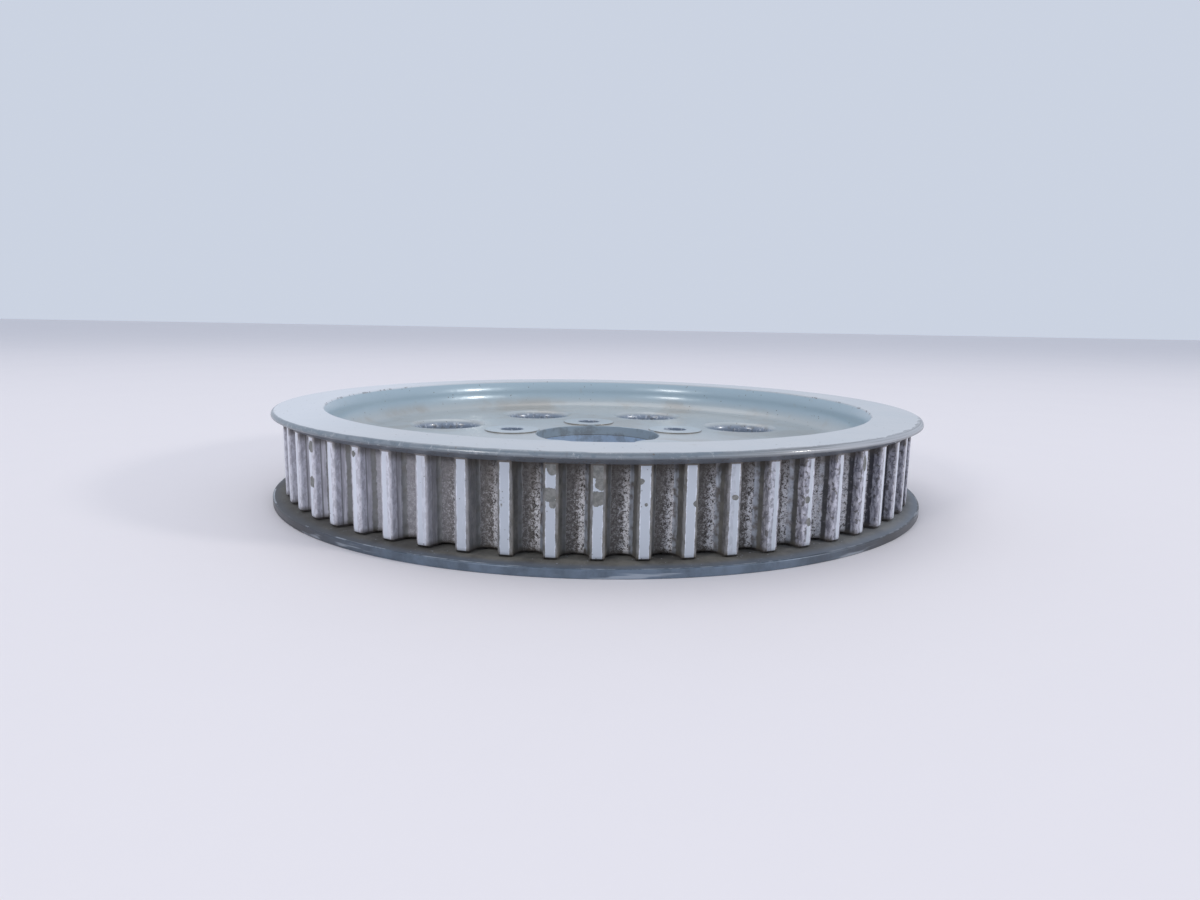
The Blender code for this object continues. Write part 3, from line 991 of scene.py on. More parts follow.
@dataclass(frozen=True)
class RimFinish(Look):
    """The toothed rim: painted lands with chips, dirty flanks, a rubbed band and a rough cast root, with
    painted light and shade on the flanks and lands.
    """

    name: str = "worn_toothed_rim"
    land: Colour = srgb(182, 190, 201)
    land_edge: Colour = srgb(170, 172, 178)
    # painted light: the lands' brighter tone at the pulley's sides and along their edges
    land_lit: Colour = srgb(226, 230, 240)
    chip: Colour = srgb(104, 106, 104)
    chip_rim: Colour = srgb(128, 128, 126)
    flank: Colour = srgb(112, 110, 106)
    flank_dark: Colour = srgb(82, 82, 80)
    # painted light: pale flanks and root on the pulley's left, in two streaked tones
    flank_lit: Colour = srgb(214, 214, 224)
    flank_lit_streak: Colour = srgb(176, 175, 185)
    # painted shadow on the flanks at the pulley's right
    flank_shadow: Colour = srgb(40, 40, 54)
    worn_dark: Colour = srgb(120, 120, 132)
    worn_bright: Colour = srgb(188, 188, 200)
    rubbed: Colour = srgb(168, 174, 184)
    # painted shadow on the rubbed band along the groove's left wall
    rubbed_shadow: Colour = srgb(118, 118, 116)
    root: Colour = srgb(114, 110, 108)
    root_bright: Colour = srgb(224, 224, 228)
    root_dark: Colour = srgb(66, 62, 60)
    # dust with painted shade, at the grooves' upper and lower ends
    dust: Colour = srgb(88, 82, 74)
    relief_depth: float = 0.3 * MM

    def paint_on(self, work: Finish, sizes: PulleySizes) -> None:
        """Paints the root, the rubbed band, the flanks and the lands, with dust and painted shade at both
        ends and a painted shadow line at the foot.
        """
        board, height = work.board, work.height
        rim = RimPlace(work, sizes)
        grain = work.grain(1050.0)
        worn, scuffed_and_lit = self.worn_paint(work), self.scuffed_and_lit_paint(work)
        root = self.cast_root(work, sizes, rim, grain)
        band = self.rubbed_band(work, rim, root)
        flank = self.flanks(work, sizes, rim, worn, scuffed_and_lit)
        on_land = board.times(
            board.inverse(rim.deep), work.ragged(rim.wide, 5.42 * MM, 0.05 * MM, 0.75 * MM, 420.0)
        )
        chips = self.chips(work, rim)
        paint = self.land_paint(work, rim, worn, scuffed_and_lit)
        paint = board.mix(chips, paint, self.bare_metal(work))
        colour = board.mix(rim.to_flank, board.mix(rim.to_rubbed, root, band), flank)
        # Dust and painted shade: the grooves are darker under the upper flange and just above the ring.
        top = work.ragged(height, sizes.land_top - 2.6 * MM, 1.6 * MM, 3.0 * MM, 220.0)
        foot = board.ramp(height, sizes.rim_bottom + 2.4 * MM, sizes.rim_bottom + 0.4 * MM)
        colour = board.mix(board.most(top, foot), colour, self.dust, 0.7)
        below_fillet = board.ramp(height, sizes.land_top - 0.3 * MM, sizes.land_top - 0.5 * MM)
        colour = board.mix(board.times(on_land, below_fillet), colour, paint)
        # Painted shadow: a dark line along the rim's foot, in the gap above the ring.
        end = board.ramp(height, sizes.rim_bottom + 0.75 * MM, sizes.rim_bottom + 0.45 * MM)
        colour = board.mix(end, colour, self.root_dark, 0.9)
        in_root = board.times(board.inverse(rim.to_rubbed), rim.deep)
        relief = board.times(grain["Height"], board.plus(0.12, board.times(in_root, 0.88)))
        relief = board.minus(relief, board.times(chips, on_land, 0.28))
        off_flank = board.inverse(rim.to_flank)
        rough = board.blend(in_root, 0.5, 0.62)
        rough = board.blend(board.times(rim.to_rubbed, off_flank), rough, 0.3)
        rough = board.blend(on_land, rough, board.blend(chips, 0.3, 0.5))
        metal = board.blend(on_land, board.times(off_flank, 0.45), 0.1)
        work.set(Base_Color=colour, Roughness=rough, Metallic=metal)
        work.bump(relief, self.relief_depth)

    def cast_root(
        self, work: Finish, sizes: PulleySizes, rim: RimPlace, grain: dict[str, Socket]
    ) -> Socket:
        """The rough root: bright tops and dark pits, brighter low down. Painted light brightens its right
        wall and the pulley's left side, and painted shadow darkens its left wall.
        """
        board = work.board
        dull = work.ragged(work.height, sizes.rim_bottom + 20.0 * MM, 5.0 * MM, 8.0 * MM, 160.0)
        lower = board.ramp(dull, 0.0, 1.0, 1.0, 0.35)
        # Painted light: the bright tops are stronger on the groove's right wall.
        tops = board.times(grain["Bright"], board.blend(rim.right_wall, 0.4, 0.75), lower)
        root = board.mix(tops, self.root, self.root_bright)
        # Painted light: a bright speckled streak along the right part of the root.
        lit_streak = work.ragged(rim.across, 1.1 * MM, 0.5 * MM, 1.6 * MM, 260.0)
        bright = board.times(lit_streak, board.ramp(grain["Height"], 0.44, 0.5), lower)
        root = board.mix(bright, root, self.root_bright, 0.85)
        pits = board.times(grain["Dark"], board.blend(rim.right_wall, 0.7, 0.9))
        root = board.mix(pits, root, self.root_dark)
        # Painted shadow: the groove's left wall is darkened towards the flank colour.
        root = board.mix(rim.left_wall, root, self.flank, 0.3)
        # Painted light: the root turns pale on the pulley's left side.
        return board.mix(rim.to_left, root, self.flank_lit, 0.55)

    def rubbed_band(self, work: Finish, rim: RimPlace, root: Source) -> Socket:
        """The smooth band that the belt rubs beside the root, with painted shadow on the groove's left wall.
        It fades out to the pulley's right.
        """
        board = work.board
        band = board.mix(work.patches(500.0, 3.0, 0.5, 0.4, 0.7), self.rubbed, self.root)
        # Painted shadow: the band is darkened on the groove's left wall.
        band = board.mix(rim.left_wall, band, self.rubbed_shadow, 0.85)
        return board.mix(rim.to_right, band, root)

    def flanks(
        self, work: Finish, sizes: PulleySizes, rim: RimPlace, worn: Source, scuffed_and_lit: Source
    ) -> Socket:
        """The dirty flanks, with worn paint and with paint that has scuffs and painted light by the lands."""
        board = work.board
        flank = board.mix(work.patches(260.0, 4.0, 0.6, 0.35, 0.65), self.flank, self.flank_dark)
        flank = board.mix(rim.right_wall, flank, self.flank_dark, 0.35)
        flank = self.side_flanks(work, sizes, rim, flank)
        depth = board.minus(rim.depth, board.times(rim.to_right, 1.5 * MM))
        # Paint on the shoulder beside each land, stronger at the sides; on the left it is also painted light.
        shoulder = board.times(
            board.inverse(work.ragged(depth, 1.0 * MM, 0.25 * MM, 1.6 * MM, 240.0)),
            work.streaks(700.0, 3.0, 0.4, 0.56),
            board.ramp(board.most(rim.to_left, rim.to_right), 0.0, 1.0, 0.25, 0.8),
        )
        flank = board.mix(shoulder, flank, self.land_edge)
        by_land = board.inverse(work.ragged(rim.depth, 2.4 * MM, 0.2 * MM, 0.8 * MM, 240.0))
        flank = board.mix(board.times(by_land, rim.to_worn), flank, worn, 0.9)
        # Painted light: pale paint with scuffs on the flanks by the lands on the pulley's left.
        flank = board.mix(board.times(by_land, rim.to_left), flank, scuffed_and_lit, 0.8)
        line = board.band(rim.depth, 2.3 * MM, 2.6 * MM, 0.15 * MM)
        return board.mix(board.times(line, rim.to_left), flank, self.flank_dark, 0.6)

    def side_flanks(self, work: Finish, sizes: PulleySizes, rim: RimPlace, flank: Source) -> Socket:
        """The flanks at the sides: pale and streaked with painted light on the left, dark and bluish with
        painted shadow and specks on the right.
        """
        board = work.board
        streaks = work.streaks(900.0, 10.0, 0.4, 0.62)
        # Painted light: pale streaked flanks on the pulley's left.
        pale = board.mix(streaks, self.flank_lit_streak, self.flank_lit)
        flank = board.mix(work.sideways(sizes.land_radius, -0.15, -0.65), flank, pale, 0.9)
        specks = board.times(work.patches(620.0, 3.0, 0.6, 0.55, 0.62), streaks)
        # Painted shadow: dark bluish flanks with light specks on the pulley's right.
        blue = board.mix(specks, self.flank_shadow, self.worn_bright, 0.35)
        return board.mix(rim.to_right, flank, blue, 0.85)

    def land_paint(self, work: Finish, rim: RimPlace, worn: Source, scuffed_and_lit: Source) -> Socket:
        """The lands' paint: brighter at the sides with painted light and along the edges with a painted
        highlight, rubbed on one side of each side land.
        """
        board = work.board
        paint = board.mix(board.noise(work.place, 90.0, 3.0), self.land, self.land_edge, 0.3)
        # Painted light: the lands on the pulley's left are painted brighter.
        paint = board.mix(rim.to_left, paint, self.land_lit, 0.7)
        # Painted highlight: a broken bright line along each land's edge.
        highlight_breaks = work.patches(300.0, 4.0, 0.7, 0.42, 0.58)
        land_edge_highlight = board.times(board.band(rim.wide, 5.2 * MM, 5.6 * MM, 0.1 * MM), highlight_breaks)
        paint = board.mix(land_edge_highlight, paint, self.land_lit, 0.7)
        # Painted light: the lands on the pulley's right are painted brighter.
        paint = board.mix(rim.to_right, paint, self.land_lit, 0.6)
        near_side = board.inverse(work.ragged(rim.land_across, 0.0, 0.12 * MM, 1.0 * MM, 240.0))
        paint = board.mix(board.times(near_side, rim.to_worn), paint, worn, 0.9)
        # Painted light: pale paint with scuffs on the far side of the lands on the left.
        far_side = work.ragged(rim.land_across, 0.25 * MM, 0.12 * MM, 0.8 * MM, 240.0)
        paint = board.mix(board.times(far_side, rim.to_left), paint, scuffed_and_lit, 0.85)
        return board.mix(work.specks(600.0, 0.1, 0.16), paint, self.chip, 0.7)

    def worn_paint(self, work: Finish) -> Socket:
        """Rubbed paint, streaked and speckled, for the pulley's right side."""
        board = work.board
        worn = board.mix(work.streaks(1000.0, 2.5, 0.4, 0.6), self.worn_dark, self.worn_bright)
        return board.mix(work.patches(700.0, 3.0, 0.6, 0.55, 0.61), worn, self.root_dark, 0.75)

    def scuffed_and_lit_paint(self, work: Finish) -> Socket:
        """Paint with scuffs for the pulley's left side, pale with painted light."""
        streaks = work.streaks(1000.0, 2.5, 0.42, 0.58)
        return work.board.mix(streaks, self.flank_lit_streak, self.flank_lit)

    def bare_metal(self, work: Finish) -> Socket:
        """The dull metal that shows in the chips."""
        mottle = work.patches(700.0, 4.0, 0.65, 0.38, 0.62)
        return work.board.mix(mottle, self.chip, self.chip_rim)

    def chips(self, work: Finish, rim: RimPlace) -> Socket:
        """All the chips in the lands' paint, those listed and some scattered ones."""
        board = work.board
        ragged = board.times(board.minus(board.noise(work.place, 420.0, 4.0, 0.6), 0.5), 2.6)
        mask = work.patches(130.0, 3.0, 0.45, 0.74, 0.76)
        for chip in CHIPS:
            named = {
                "Land": rim.land,
                "Across": rim.land_across,
                "Height": work.height,
                "Ragged": ragged,
                "Chip Land": float(chip.land),
                "Chip Across": chip.across * MM,
                "Chip Height": chip.height * MM,
                "Half Width": chip.half_width * MM,
                "Half Height": chip.half_height * MM,
            }
            mask = board.most(mask, board.use(work.effects.paint_chip, **named)["Mask"])
        return mask


@dataclass(frozen=True)
class RingFinish(Look):
    """Dull dark steel: brown belt dust on the face under the teeth, blue-grey with scuffs round the rim, with
    painted light and shade at the sides and a painted highlight on the rim's edge.
    """

    name: str = "dusty_ring_steel"
    rim: Colour = srgb(106, 120, 136)
    rim_dark: Colour = srgb(84, 96, 109)
    # painted shade on the rim at the pulley's sides
    rim_side_shade: Colour = srgb(62, 60, 61)
    face: Colour = srgb(122, 120, 114)
    face_dark: Colour = srgb(90, 88, 84)
    face_out: Colour = srgb(94, 104, 118)
    bright: Colour = srgb(196, 204, 214)
    under: Colour = srgb(104, 110, 116)
    relief_depth: float = 0.12 * MM

    def paint_on(self, work: Finish, sizes: PulleySizes) -> None:
        """Paints the rim, the face inside it and the painted highlight on the edge between them."""
        board, outer = work.board, sizes.ring_radius
        marks = work.marks(900.0)
        cloud = board.noise(work.place, 70.0, 5.0, 0.65)
        rim = board.mix(board.ramp(cloud, 0.4, 0.65), self.rim, self.rim_dark)
        # Painted shade: the rim is darker towards the pulley's left and right.
        to_side = board.ramp(board.math("ABSOLUTE", work.x), 0.35 * outer, 0.75 * outer)
        rim = board.mix(to_side, rim, self.rim_side_shade, 0.85)
        rim = board.mix(marks["Scuffs"], rim, self.bright, 0.4)
        on_face = board.ramp(work.radius, outer - 0.35 * MM, outer - 0.9 * MM)
        colour = board.mix(on_face, rim, self.faces(work, sizes, cloud, marks["Rings"]))
        # Painted highlight: a broken bright line along the rim's upper edge.
        edge = self.rim_highlight(work, sizes)
        colour = board.mix(edge, colour, self.bright)
        rough = board.blend(edge, board.blend(on_face, 0.38, 0.7), 0.28)
        work.set(Base_Color=colour, Roughness=rough, Metallic=board.blend(on_face, 0.35, 0.1))
        relief = board.plus(board.times(marks["Rings"], 0.4), board.times(cloud, 0.4))
        work.bump(relief, self.relief_depth)

    def faces(self, work: Finish, sizes: PulleySizes, cloud: Source, rings: Source) -> Socket:
        """The dusty face under the teeth, lighter on the right and darker on the left with painted light and
        shade, and the turned face under the ring.
        """
        board, outer = work.board, sizes.ring_radius
        face = board.mix(board.ramp(cloud, 0.38, 0.62), self.face, self.face_dark)
        face = board.mix(work.specks(700.0, 0.12, 0.2), face, self.bright, 0.6)
        outwards = work.ragged(work.radius, outer - 2.8 * MM, 1.6 * MM, 2.0 * MM, 90.0)
        face = board.mix(outwards, face, self.face_out, 0.8)
        # Painted light and shade: the face is lighter on the pulley's right and darker on its left.
        face = board.mix(work.sideways(outer, 0.2, 0.8), face, self.bright, 0.2)
        face = board.mix(work.sideways(outer, -0.2, -0.8), face, self.face_dark, 0.6)
        bottom = board.mix(board.ramp(rings, 0.35, 0.65), self.under, self.rim_dark)
        return board.mix(board.ramp(work.height, 0.2 * MM, 0.05 * MM), face, bottom)

    def rim_highlight(self, work: Finish, sizes: PulleySizes) -> Socket:
        """The broken painted highlight on the rim's upper edge, stronger round the left."""
        board, outer = work.board, sizes.ring_radius
        edge = board.band(work.radius, outer - 0.75 * MM, outer - 0.3 * MM, 0.12 * MM)
        high = board.ramp(work.height, 2.0 * MM, 2.5 * MM)
        left = work.between_turns(board.math("ABSOLUTE", work.turn), 95.0, 130.0)
        broken = work.patches(110.0, 4.0, 0.7, 0.46, 0.6)
        return board.times(edge, high, board.blend(left, 0.35, 0.6), broken)


@dataclass(frozen=True)
class ScrewFinish(Look):
    """Black-oxide screw steel, rubbed bright in places, with a trace of rust."""

    name: str = "screw_steel"
    dark: Colour = srgb(70, 70, 72)
    bright: Colour = srgb(138, 138, 140)
    rust: Colour = srgb(104, 68, 44)
    metallic: float = 0.85
    relief_depth: float = 0.05 * MM

    def paint_on(self, work: Finish, sizes: PulleySizes) -> None:
        """Paints the steel, its rubbed places and its rust."""
        board = work.board
        cloud = board.noise(work.place, 420.0, 4.0, 0.6)
        colour = board.mix(board.ramp(cloud, 0.45, 0.7), self.dark, self.bright)
        colour = board.mix(work.stains(300.0, 0.22), colour, self.rust, 0.6)
        rough = board.ramp(cloud, 0.3, 0.7, 0.32, 0.55)
        work.set(Base_Color=colour, Roughness=rough, Metallic=self.metallic)
        work.bump(work.marks(3000.0)["Rings"], self.relief_depth)


@dataclass
class CastBody:
    """The casting without its teeth: upper flange, dish, web, hub, bolt seats and every hole."""

    sizes: PulleySizes
    finish: BodyFinish = BodyFinish()
    steps: int = 216
    hole_steps: int = 48
    sharp_angle: float = 38.0
    foot_inset: float = 17.6 * MM
    dish_fillet: float = 9.0 * MM
    under_inset: float = 23.0 * MM
    under_fillet: float = 4.0 * MM
    flange_edge: float = 1.6 * MM
    flange_foot_edge: float = 0.3 * MM
    bevel_rise: float = 2.1 * MM
    lip_edge: float = 0.35 * MM
    hub_edge: float = 0.6 * MM
    bore_chamfer: float = 0.25 * MM
    register_step: float = 0.25 * MM
    seat_edge: float = 0.15 * MM
    seat_flare: float = 0.35 * MM
    bolt_chamfer: float = 0.3 * MM
    lightening_count: int = 8
    lightening_hub_band: float = 13.5 * MM
    lightening_rim_band: float = 12.4 * MM
    lightening_edge: float = 3.5 * MM
    first_lightening: float = 115.0
    tool_overrun: float = 2.0 * MM

    @property
    def web_outer(self) -> float:
        """Radius at which the web runs into the dish's fillet."""
        return self.sizes.land_radius - self.foot_inset - self.dish_fillet

    def dish_wall(self) -> list[Point]:
        """The dish's wall from its lower end to just under its upper edge, leaning out more and more."""
        sizes = self.sizes
        foot = sizes.land_radius - self.foot_inset
        lean = self.foot_inset - sizes.lip_inset
        low = sizes.web_top + self.dish_fillet
        high = sizes.top_face - self.lip_edge
        shares = [i / 8 for i in range(1, 9)]
        return [(foot + lean * share**2, low + (high - low) * share) for share in shares]

    def outline(self) -> list[Point]:
        """The turned section, from the upper edge of the dish outwards and round."""
        sizes = self.sizes
        lip = sizes.dish_lip
        top = sizes.top_face
        under = sizes.land_radius - self.under_inset
        fillet = self.under_fillet
        web = sizes.web_bottom
        bore = sizes.bore_radius
        register = bore + self.register_step
        step = sizes.register_level
        chamfer = self.bore_chamfer
        edge_centre = (sizes.flange_radius - self.flange_edge, top - self.flange_edge)
        bevel_top = sizes.land_top + self.bevel_rise
        foot_centre = (sizes.flange_radius - self.flange_foot_edge, bevel_top + self.flange_foot_edge)
        return [
            (lip + self.lip_edge, top),
            ((lip + edge_centre[0]) / 2, top),
            *arc(edge_centre, self.flange_edge, 90, 0, 8),
            *arc(foot_centre, self.flange_foot_edge, 0, -60, 3),
            (sizes.land_radius, sizes.land_top),
            (sizes.spigot_radius, sizes.land_top),
            (sizes.spigot_radius, sizes.casting_foot + self.hub_edge),
            (sizes.spigot_radius - self.hub_edge, sizes.casting_foot),
            (under + self.hub_edge, sizes.casting_foot),
            (under, sizes.casting_foot + self.hub_edge),
            *arc((under - fillet, web - fillet), fillet, 0, 90, 8),
            *arc((sizes.hub_radius + fillet, web - fillet), fillet, 90, 180, 8),
            (sizes.hub_radius, sizes.hub_bottom + self.hub_edge),
            (sizes.hub_radius - self.hub_edge, sizes.hub_bottom),
            (bore + chamfer, sizes.hub_bottom),
            (bore, sizes.hub_bottom + chamfer),
            (bore, step),
            (register, step),
            (register, sizes.web_top - chamfer),
            (register + chamfer, sizes.web_top),
            *arc((self.web_outer, sizes.web_top + self.dish_fillet), self.dish_fillet, -90, 0, 16),
            *self.dish_wall(),
            (lip + self.lip_edge * 0.3, top - self.lip_edge * 0.3),
        ]

    def seats(self) -> bpy.types.Object:
        """The raised seats of the bolts."""
        sizes = self.sizes
        low = sizes.web_top - sizes.web_thickness / 2
        high = sizes.web_top + sizes.bolt_seat_rise
        edge = self.seat_edge
        flare = self.seat_flare
        outline = [
            (0.0, low),
            (sizes.bolt_seat + flare, low),
            (sizes.bolt_seat + flare, sizes.web_top),
            *arc((sizes.bolt_seat + flare, sizes.web_top + flare), flare, 270, 180, 4),
            (sizes.bolt_seat, high - edge),
            (sizes.bolt_seat - edge, high),
            (0.0, high),
        ]
        return self.at_bolts("bolt_seats", outline)

    def bolt_holes(self) -> bpy.types.Object:
        """The tool that cuts the bolt holes, with a small chamfer at each mouth."""
        sizes = self.sizes
        low = sizes.hub_bottom
        high = sizes.web_top + sizes.bolt_seat_rise
        chamfer = self.bolt_chamfer
        over = self.tool_overrun
        outline = [
            (0.0, low - over),
            (sizes.bolt_hole + chamfer + over, low - over),
            (sizes.bolt_hole, low + chamfer),
            (sizes.bolt_hole, high - chamfer),
            (sizes.bolt_hole + chamfer + over, high + over),
            (0.0, high + over),
        ]
        return self.at_bolts("bolt_holes", outline)

    def at_bolts(self, name: str, outline: list[Point]) -> bpy.types.Object:
        """One turned shape at the place of each bolt."""
        sizes = self.sizes
        places = (sizes.bolt_circle, sizes.bolt_count, sizes.first_bolt)
        return round_tools(name, outline, self.hole_steps, *places)

    def lightening_holes(self) -> bpy.types.Object:
        """The tool that cuts the lightening holes, with rounded edges on both faces of the web."""
        sizes = self.sizes
        width = self.web_outer - sizes.hub_radius - self.lightening_hub_band - self.lightening_rim_band
        hole = width / 2
        circle = sizes.hub_radius + self.lightening_hub_band + hole
        edge = self.lightening_edge
        over = self.tool_overrun
        lower = arc((hole + edge, sizes.web_bottom + edge), edge, 262, 180, 8)
        upper = arc((hole + edge, sizes.web_top - edge), edge, 180, 98, 8)
        outline = [
            (0.0, sizes.web_bottom - over),
            (lower[0][0] + edge, sizes.web_bottom - over),
            *lower,
            *upper,
            (upper[-1][0] + edge, sizes.web_top + over),
            (0.0, sizes.web_top + over),
        ]
        return round_tools(
            "lightening_holes", outline, self.hole_steps, circle, self.lightening_count, self.first_lightening
        )

    def build(self) -> bpy.types.Object:
        """Models the piece.

        Returns:
            The finished mesh object.
        """
        piece = turned("cast_body", self.outline(), self.steps).leave()
        combine(piece, self.seats(), "UNION")
        combine(piece, self.bolt_holes(), "DIFFERENCE")
        combine(piece, self.lightening_holes(), "DIFFERENCE")
        smooth(piece, self.sharp_angle)
        return piece

    def dress(self, piece: bpy.types.Object, effects: Effects) -> None:
        """Gives the piece its finish and its place in the frame."""
        clothe(piece, self.finish.make(effects, self.sizes))
        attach(piece, Body.WHOLE.value)
        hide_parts("pulley_casting")


@dataclass
class ToothedRim:
    """The grooves and lands that drive the belt, with their rough cast roots."""

    sizes: PulleySizes
    finish: RimFinish = RimFinish()
    land_steps: int = 3
    edge_steps: int = 3
    root_steps: int = 20
    rows: int = 34
    foot_chamfer: float = 0.7 * MM
    foot_inset: float = 0.55 * MM
    top_fillet: float = 0.4 * MM
    fillet_shares: tuple[Point, ...] = ((0.35, 0.6), (0.65, 0.4))
    sink: float = 0.4 * MM
    sharp_angle: float = 55.0
    rough_half_width: float = 3.0 * MM
    rough_fade: float = 0.5 * MM
    fade_weight: float = 0.35
    roughness_depth: float = 0.75 * MM
    screw_hole_steps: int = 16
    screw_hole: float = 2.3 * MM
    screw_depth: float = 12.6 * MM

    def groove(self) -> list[Point]:
        """One groove and half a land on each side, as points (across, out from the lands' radius)."""
        sizes = self.sizes
        half = math.radians(sizes.tooth_step) / 2
        edge = sizes.land_edge
        middle = sizes.groove_radius + edge
        root_centre = (0.0, sizes.groove_radius - sizes.groove_depth)
        start = math.asin(middle / sizes.land_radius)
        land = []
        for i in range(self.land_steps):
            angle = -half + (half - start) * i / self.land_steps
            land.append((sizes.land_radius * math.sin(angle), sizes.land_radius * (math.cos(angle) - 1.0)))
        drop = sizes.land_radius * (math.cos(start) - 1.0)
        left_edge = arc((-middle, drop - edge), edge, 90, 0, self.edge_steps)
        left = [*land, *left_edge]
        root = arc(root_centre, sizes.groove_radius, 180, 360, self.root_steps)
        right = [(-across, out) for across, out in reversed(left)]
        return [*left, *root, *right]

    def build(self) -> bpy.types.Object:
        """Models one groove, copies it round the rim and roughens the roots.

        Returns:
            The finished mesh object.
        """
        sizes = self.sizes
        low = sizes.rim_bottom + self.foot_chamfer
        fillet_low = sizes.land_top - self.top_fillet
        places = [Vector((sizes.land_radius + out, across, low)) for across, out in self.groove()]
        work = Workpiece("toothed_rim", places[0])
        work.draw(places[1:])
        self.mark_rough(work)
        bpy.ops.mesh.select_all(action="SELECT")
        row = (fillet_low - low) / self.rows
        for _ in range(self.rows):
            bpy.ops.mesh.extrude_region_move(TRANSFORM_OT_translate={"value": (0.0, 0.0, row)})
        for outwards, upwards in self.fillet_shares:
            self.grow(outwards * self.top_fillet, upwards * self.top_fillet)
        self.grow(0.0, self.sink)
        self.close_inwards(work, sizes.land_top + self.sink)
        work.select(lambda vert: abs(vert.co.z - low) < WELD)
        self.grow(-self.foot_inset, -self.foot_chamfer)
        self.close_inwards(work, sizes.rim_bottom)
        self.bridge_inside(work)
        work.spin(sizes.teeth, copies=True)
        piece = work.leave(turn=sizes.first_land + sizes.tooth_step / 2)
        self.roughen(piece)
        combine(piece, self.screw_holes(), "DIFFERENCE")
        smooth(piece, self.sharp_angle)
        return piece

    def grow(self, outwards: float, upwards: float) -> None:
        """Extrudes the selected row of points up or down and spreads it outwards or inwards.

        Args:
            outwards: How far the lands' radius grows.
            upwards: How far the row goes up.
        """
        bpy.ops.mesh.extrude_region_move(TRANSFORM_OT_translate={"value": (0.0, 0.0, upwards)})
        share = 1.0 + outwards / self.sizes.land_radius
        bpy.ops.transform.resize(value=(share, share, 1.0), center_override=(0.0, 0.0, 0.0))

    def close_inwards(self, work: Workpiece, level: float) -> None:
        """Extrudes an end row flat into the metal behind it, onto a straight line across the groove.

        Args:
            work: The groove under work.
            level: Height of the end row.
        """
        sizes = self.sizes
        work.select(lambda vert: abs(vert.co.z - level) < WELD)
        inner = sizes.spigot_radius - self.sink
        flat = inner * math.cos(math.radians(sizes.tooth_step) / 2)
        widest = max(abs(vert.co.y) for vert in bmesh.from_edit_mesh(work.piece.data).verts if vert.select)
        narrow = inner * math.sin(math.radians(sizes.tooth_step) / 2) / widest
        bpy.ops.mesh.extrude_region_move(TRANSFORM_OT_translate={"value": (0.0, 0.0, 0.0)})
        bpy.ops.transform.resize(value=(0.0, narrow, 1.0), center_override=(flat, 0.0, 0.0))

    def bridge_inside(self, work: Workpiece) -> None:
        """Joins the two inner rows with the groove segment's back wall."""
        inner = self.sizes.spigot_radius
        work.select(lambda vert: vert.co.x < inner)
        bpy.ops.mesh.select_mode(type="EDGE")
        bpy.ops.mesh.bridge_edge_loops()
        bpy.ops.mesh.select_mode(type="VERT")

    def mark_rough(self, work: Workpiece) -> None:
        """Notes which points of the outline lie in the rough root, so that every later row has the mark."""
        faded = self.rough_half_width + self.rough_fade
        for reach, weight in ((faded, self.fade_weight), (self.rough_half_width, 1.0)):
            work.select(lambda vert: abs(vert.co.y) < reach)
            bpy.context.scene.tool_settings.vertex_group_weight = weight
            if not work.piece.vertex_groups:
                work.piece.vertex_groups.new(name="rough_root")
            bpy.ops.object.vertex_group_assign()

    def screw_holes(self) -> bpy.types.Object:
        """The tool that drills the blind holes for the ring's screws, each with a drilled point."""
        sizes = self.sizes
        hole = self.screw_hole
        low = sizes.rim_bottom - MM
        high = self.screw_depth
        outline = [(0.0, low), (hole, low), (hole, high), (0.0, high + hole / 2)]
        places = (sizes.screw_circle, sizes.screw_count, 0.0)
        return round_tools("screw_holes", outline, self.screw_hole_steps, *places)

    def roughen(self, piece: bpy.types.Object) -> None:
        """Displaces the roots by two sizes of noise."""
        for name, grain, depth in (("coarse", 2.4 * MM, 0.55), ("fine", 1.0 * MM, 0.45)):
            texture = bpy.data.textures.new(f"cast_{name}", "CLOUDS")
            texture.noise_scale = grain
            texture.noise_depth = 2
            texture.noise_basis = "ORIGINAL_PERLIN"
            make_active(piece)
            modifier = piece.modifiers.new(name, "DISPLACE")
            modifier.texture = texture
            modifier.texture_coords = "LOCAL"
            modifier.vertex_group = "rough_root"
            modifier.strength = self.roughness_depth * depth * 2.0
            modifier.mid_level = 0.5
            bpy.ops.object.modifier_apply(modifier=modifier.name)

    def dress(self, piece: bpy.types.Object, effects: Effects) -> None:
        """Gives the piece its finish and its place in the frame."""
        clothe(piece, self.finish.make(effects, self.sizes))
        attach(piece, Body.WHOLE.value)
        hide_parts("pulley_casting")


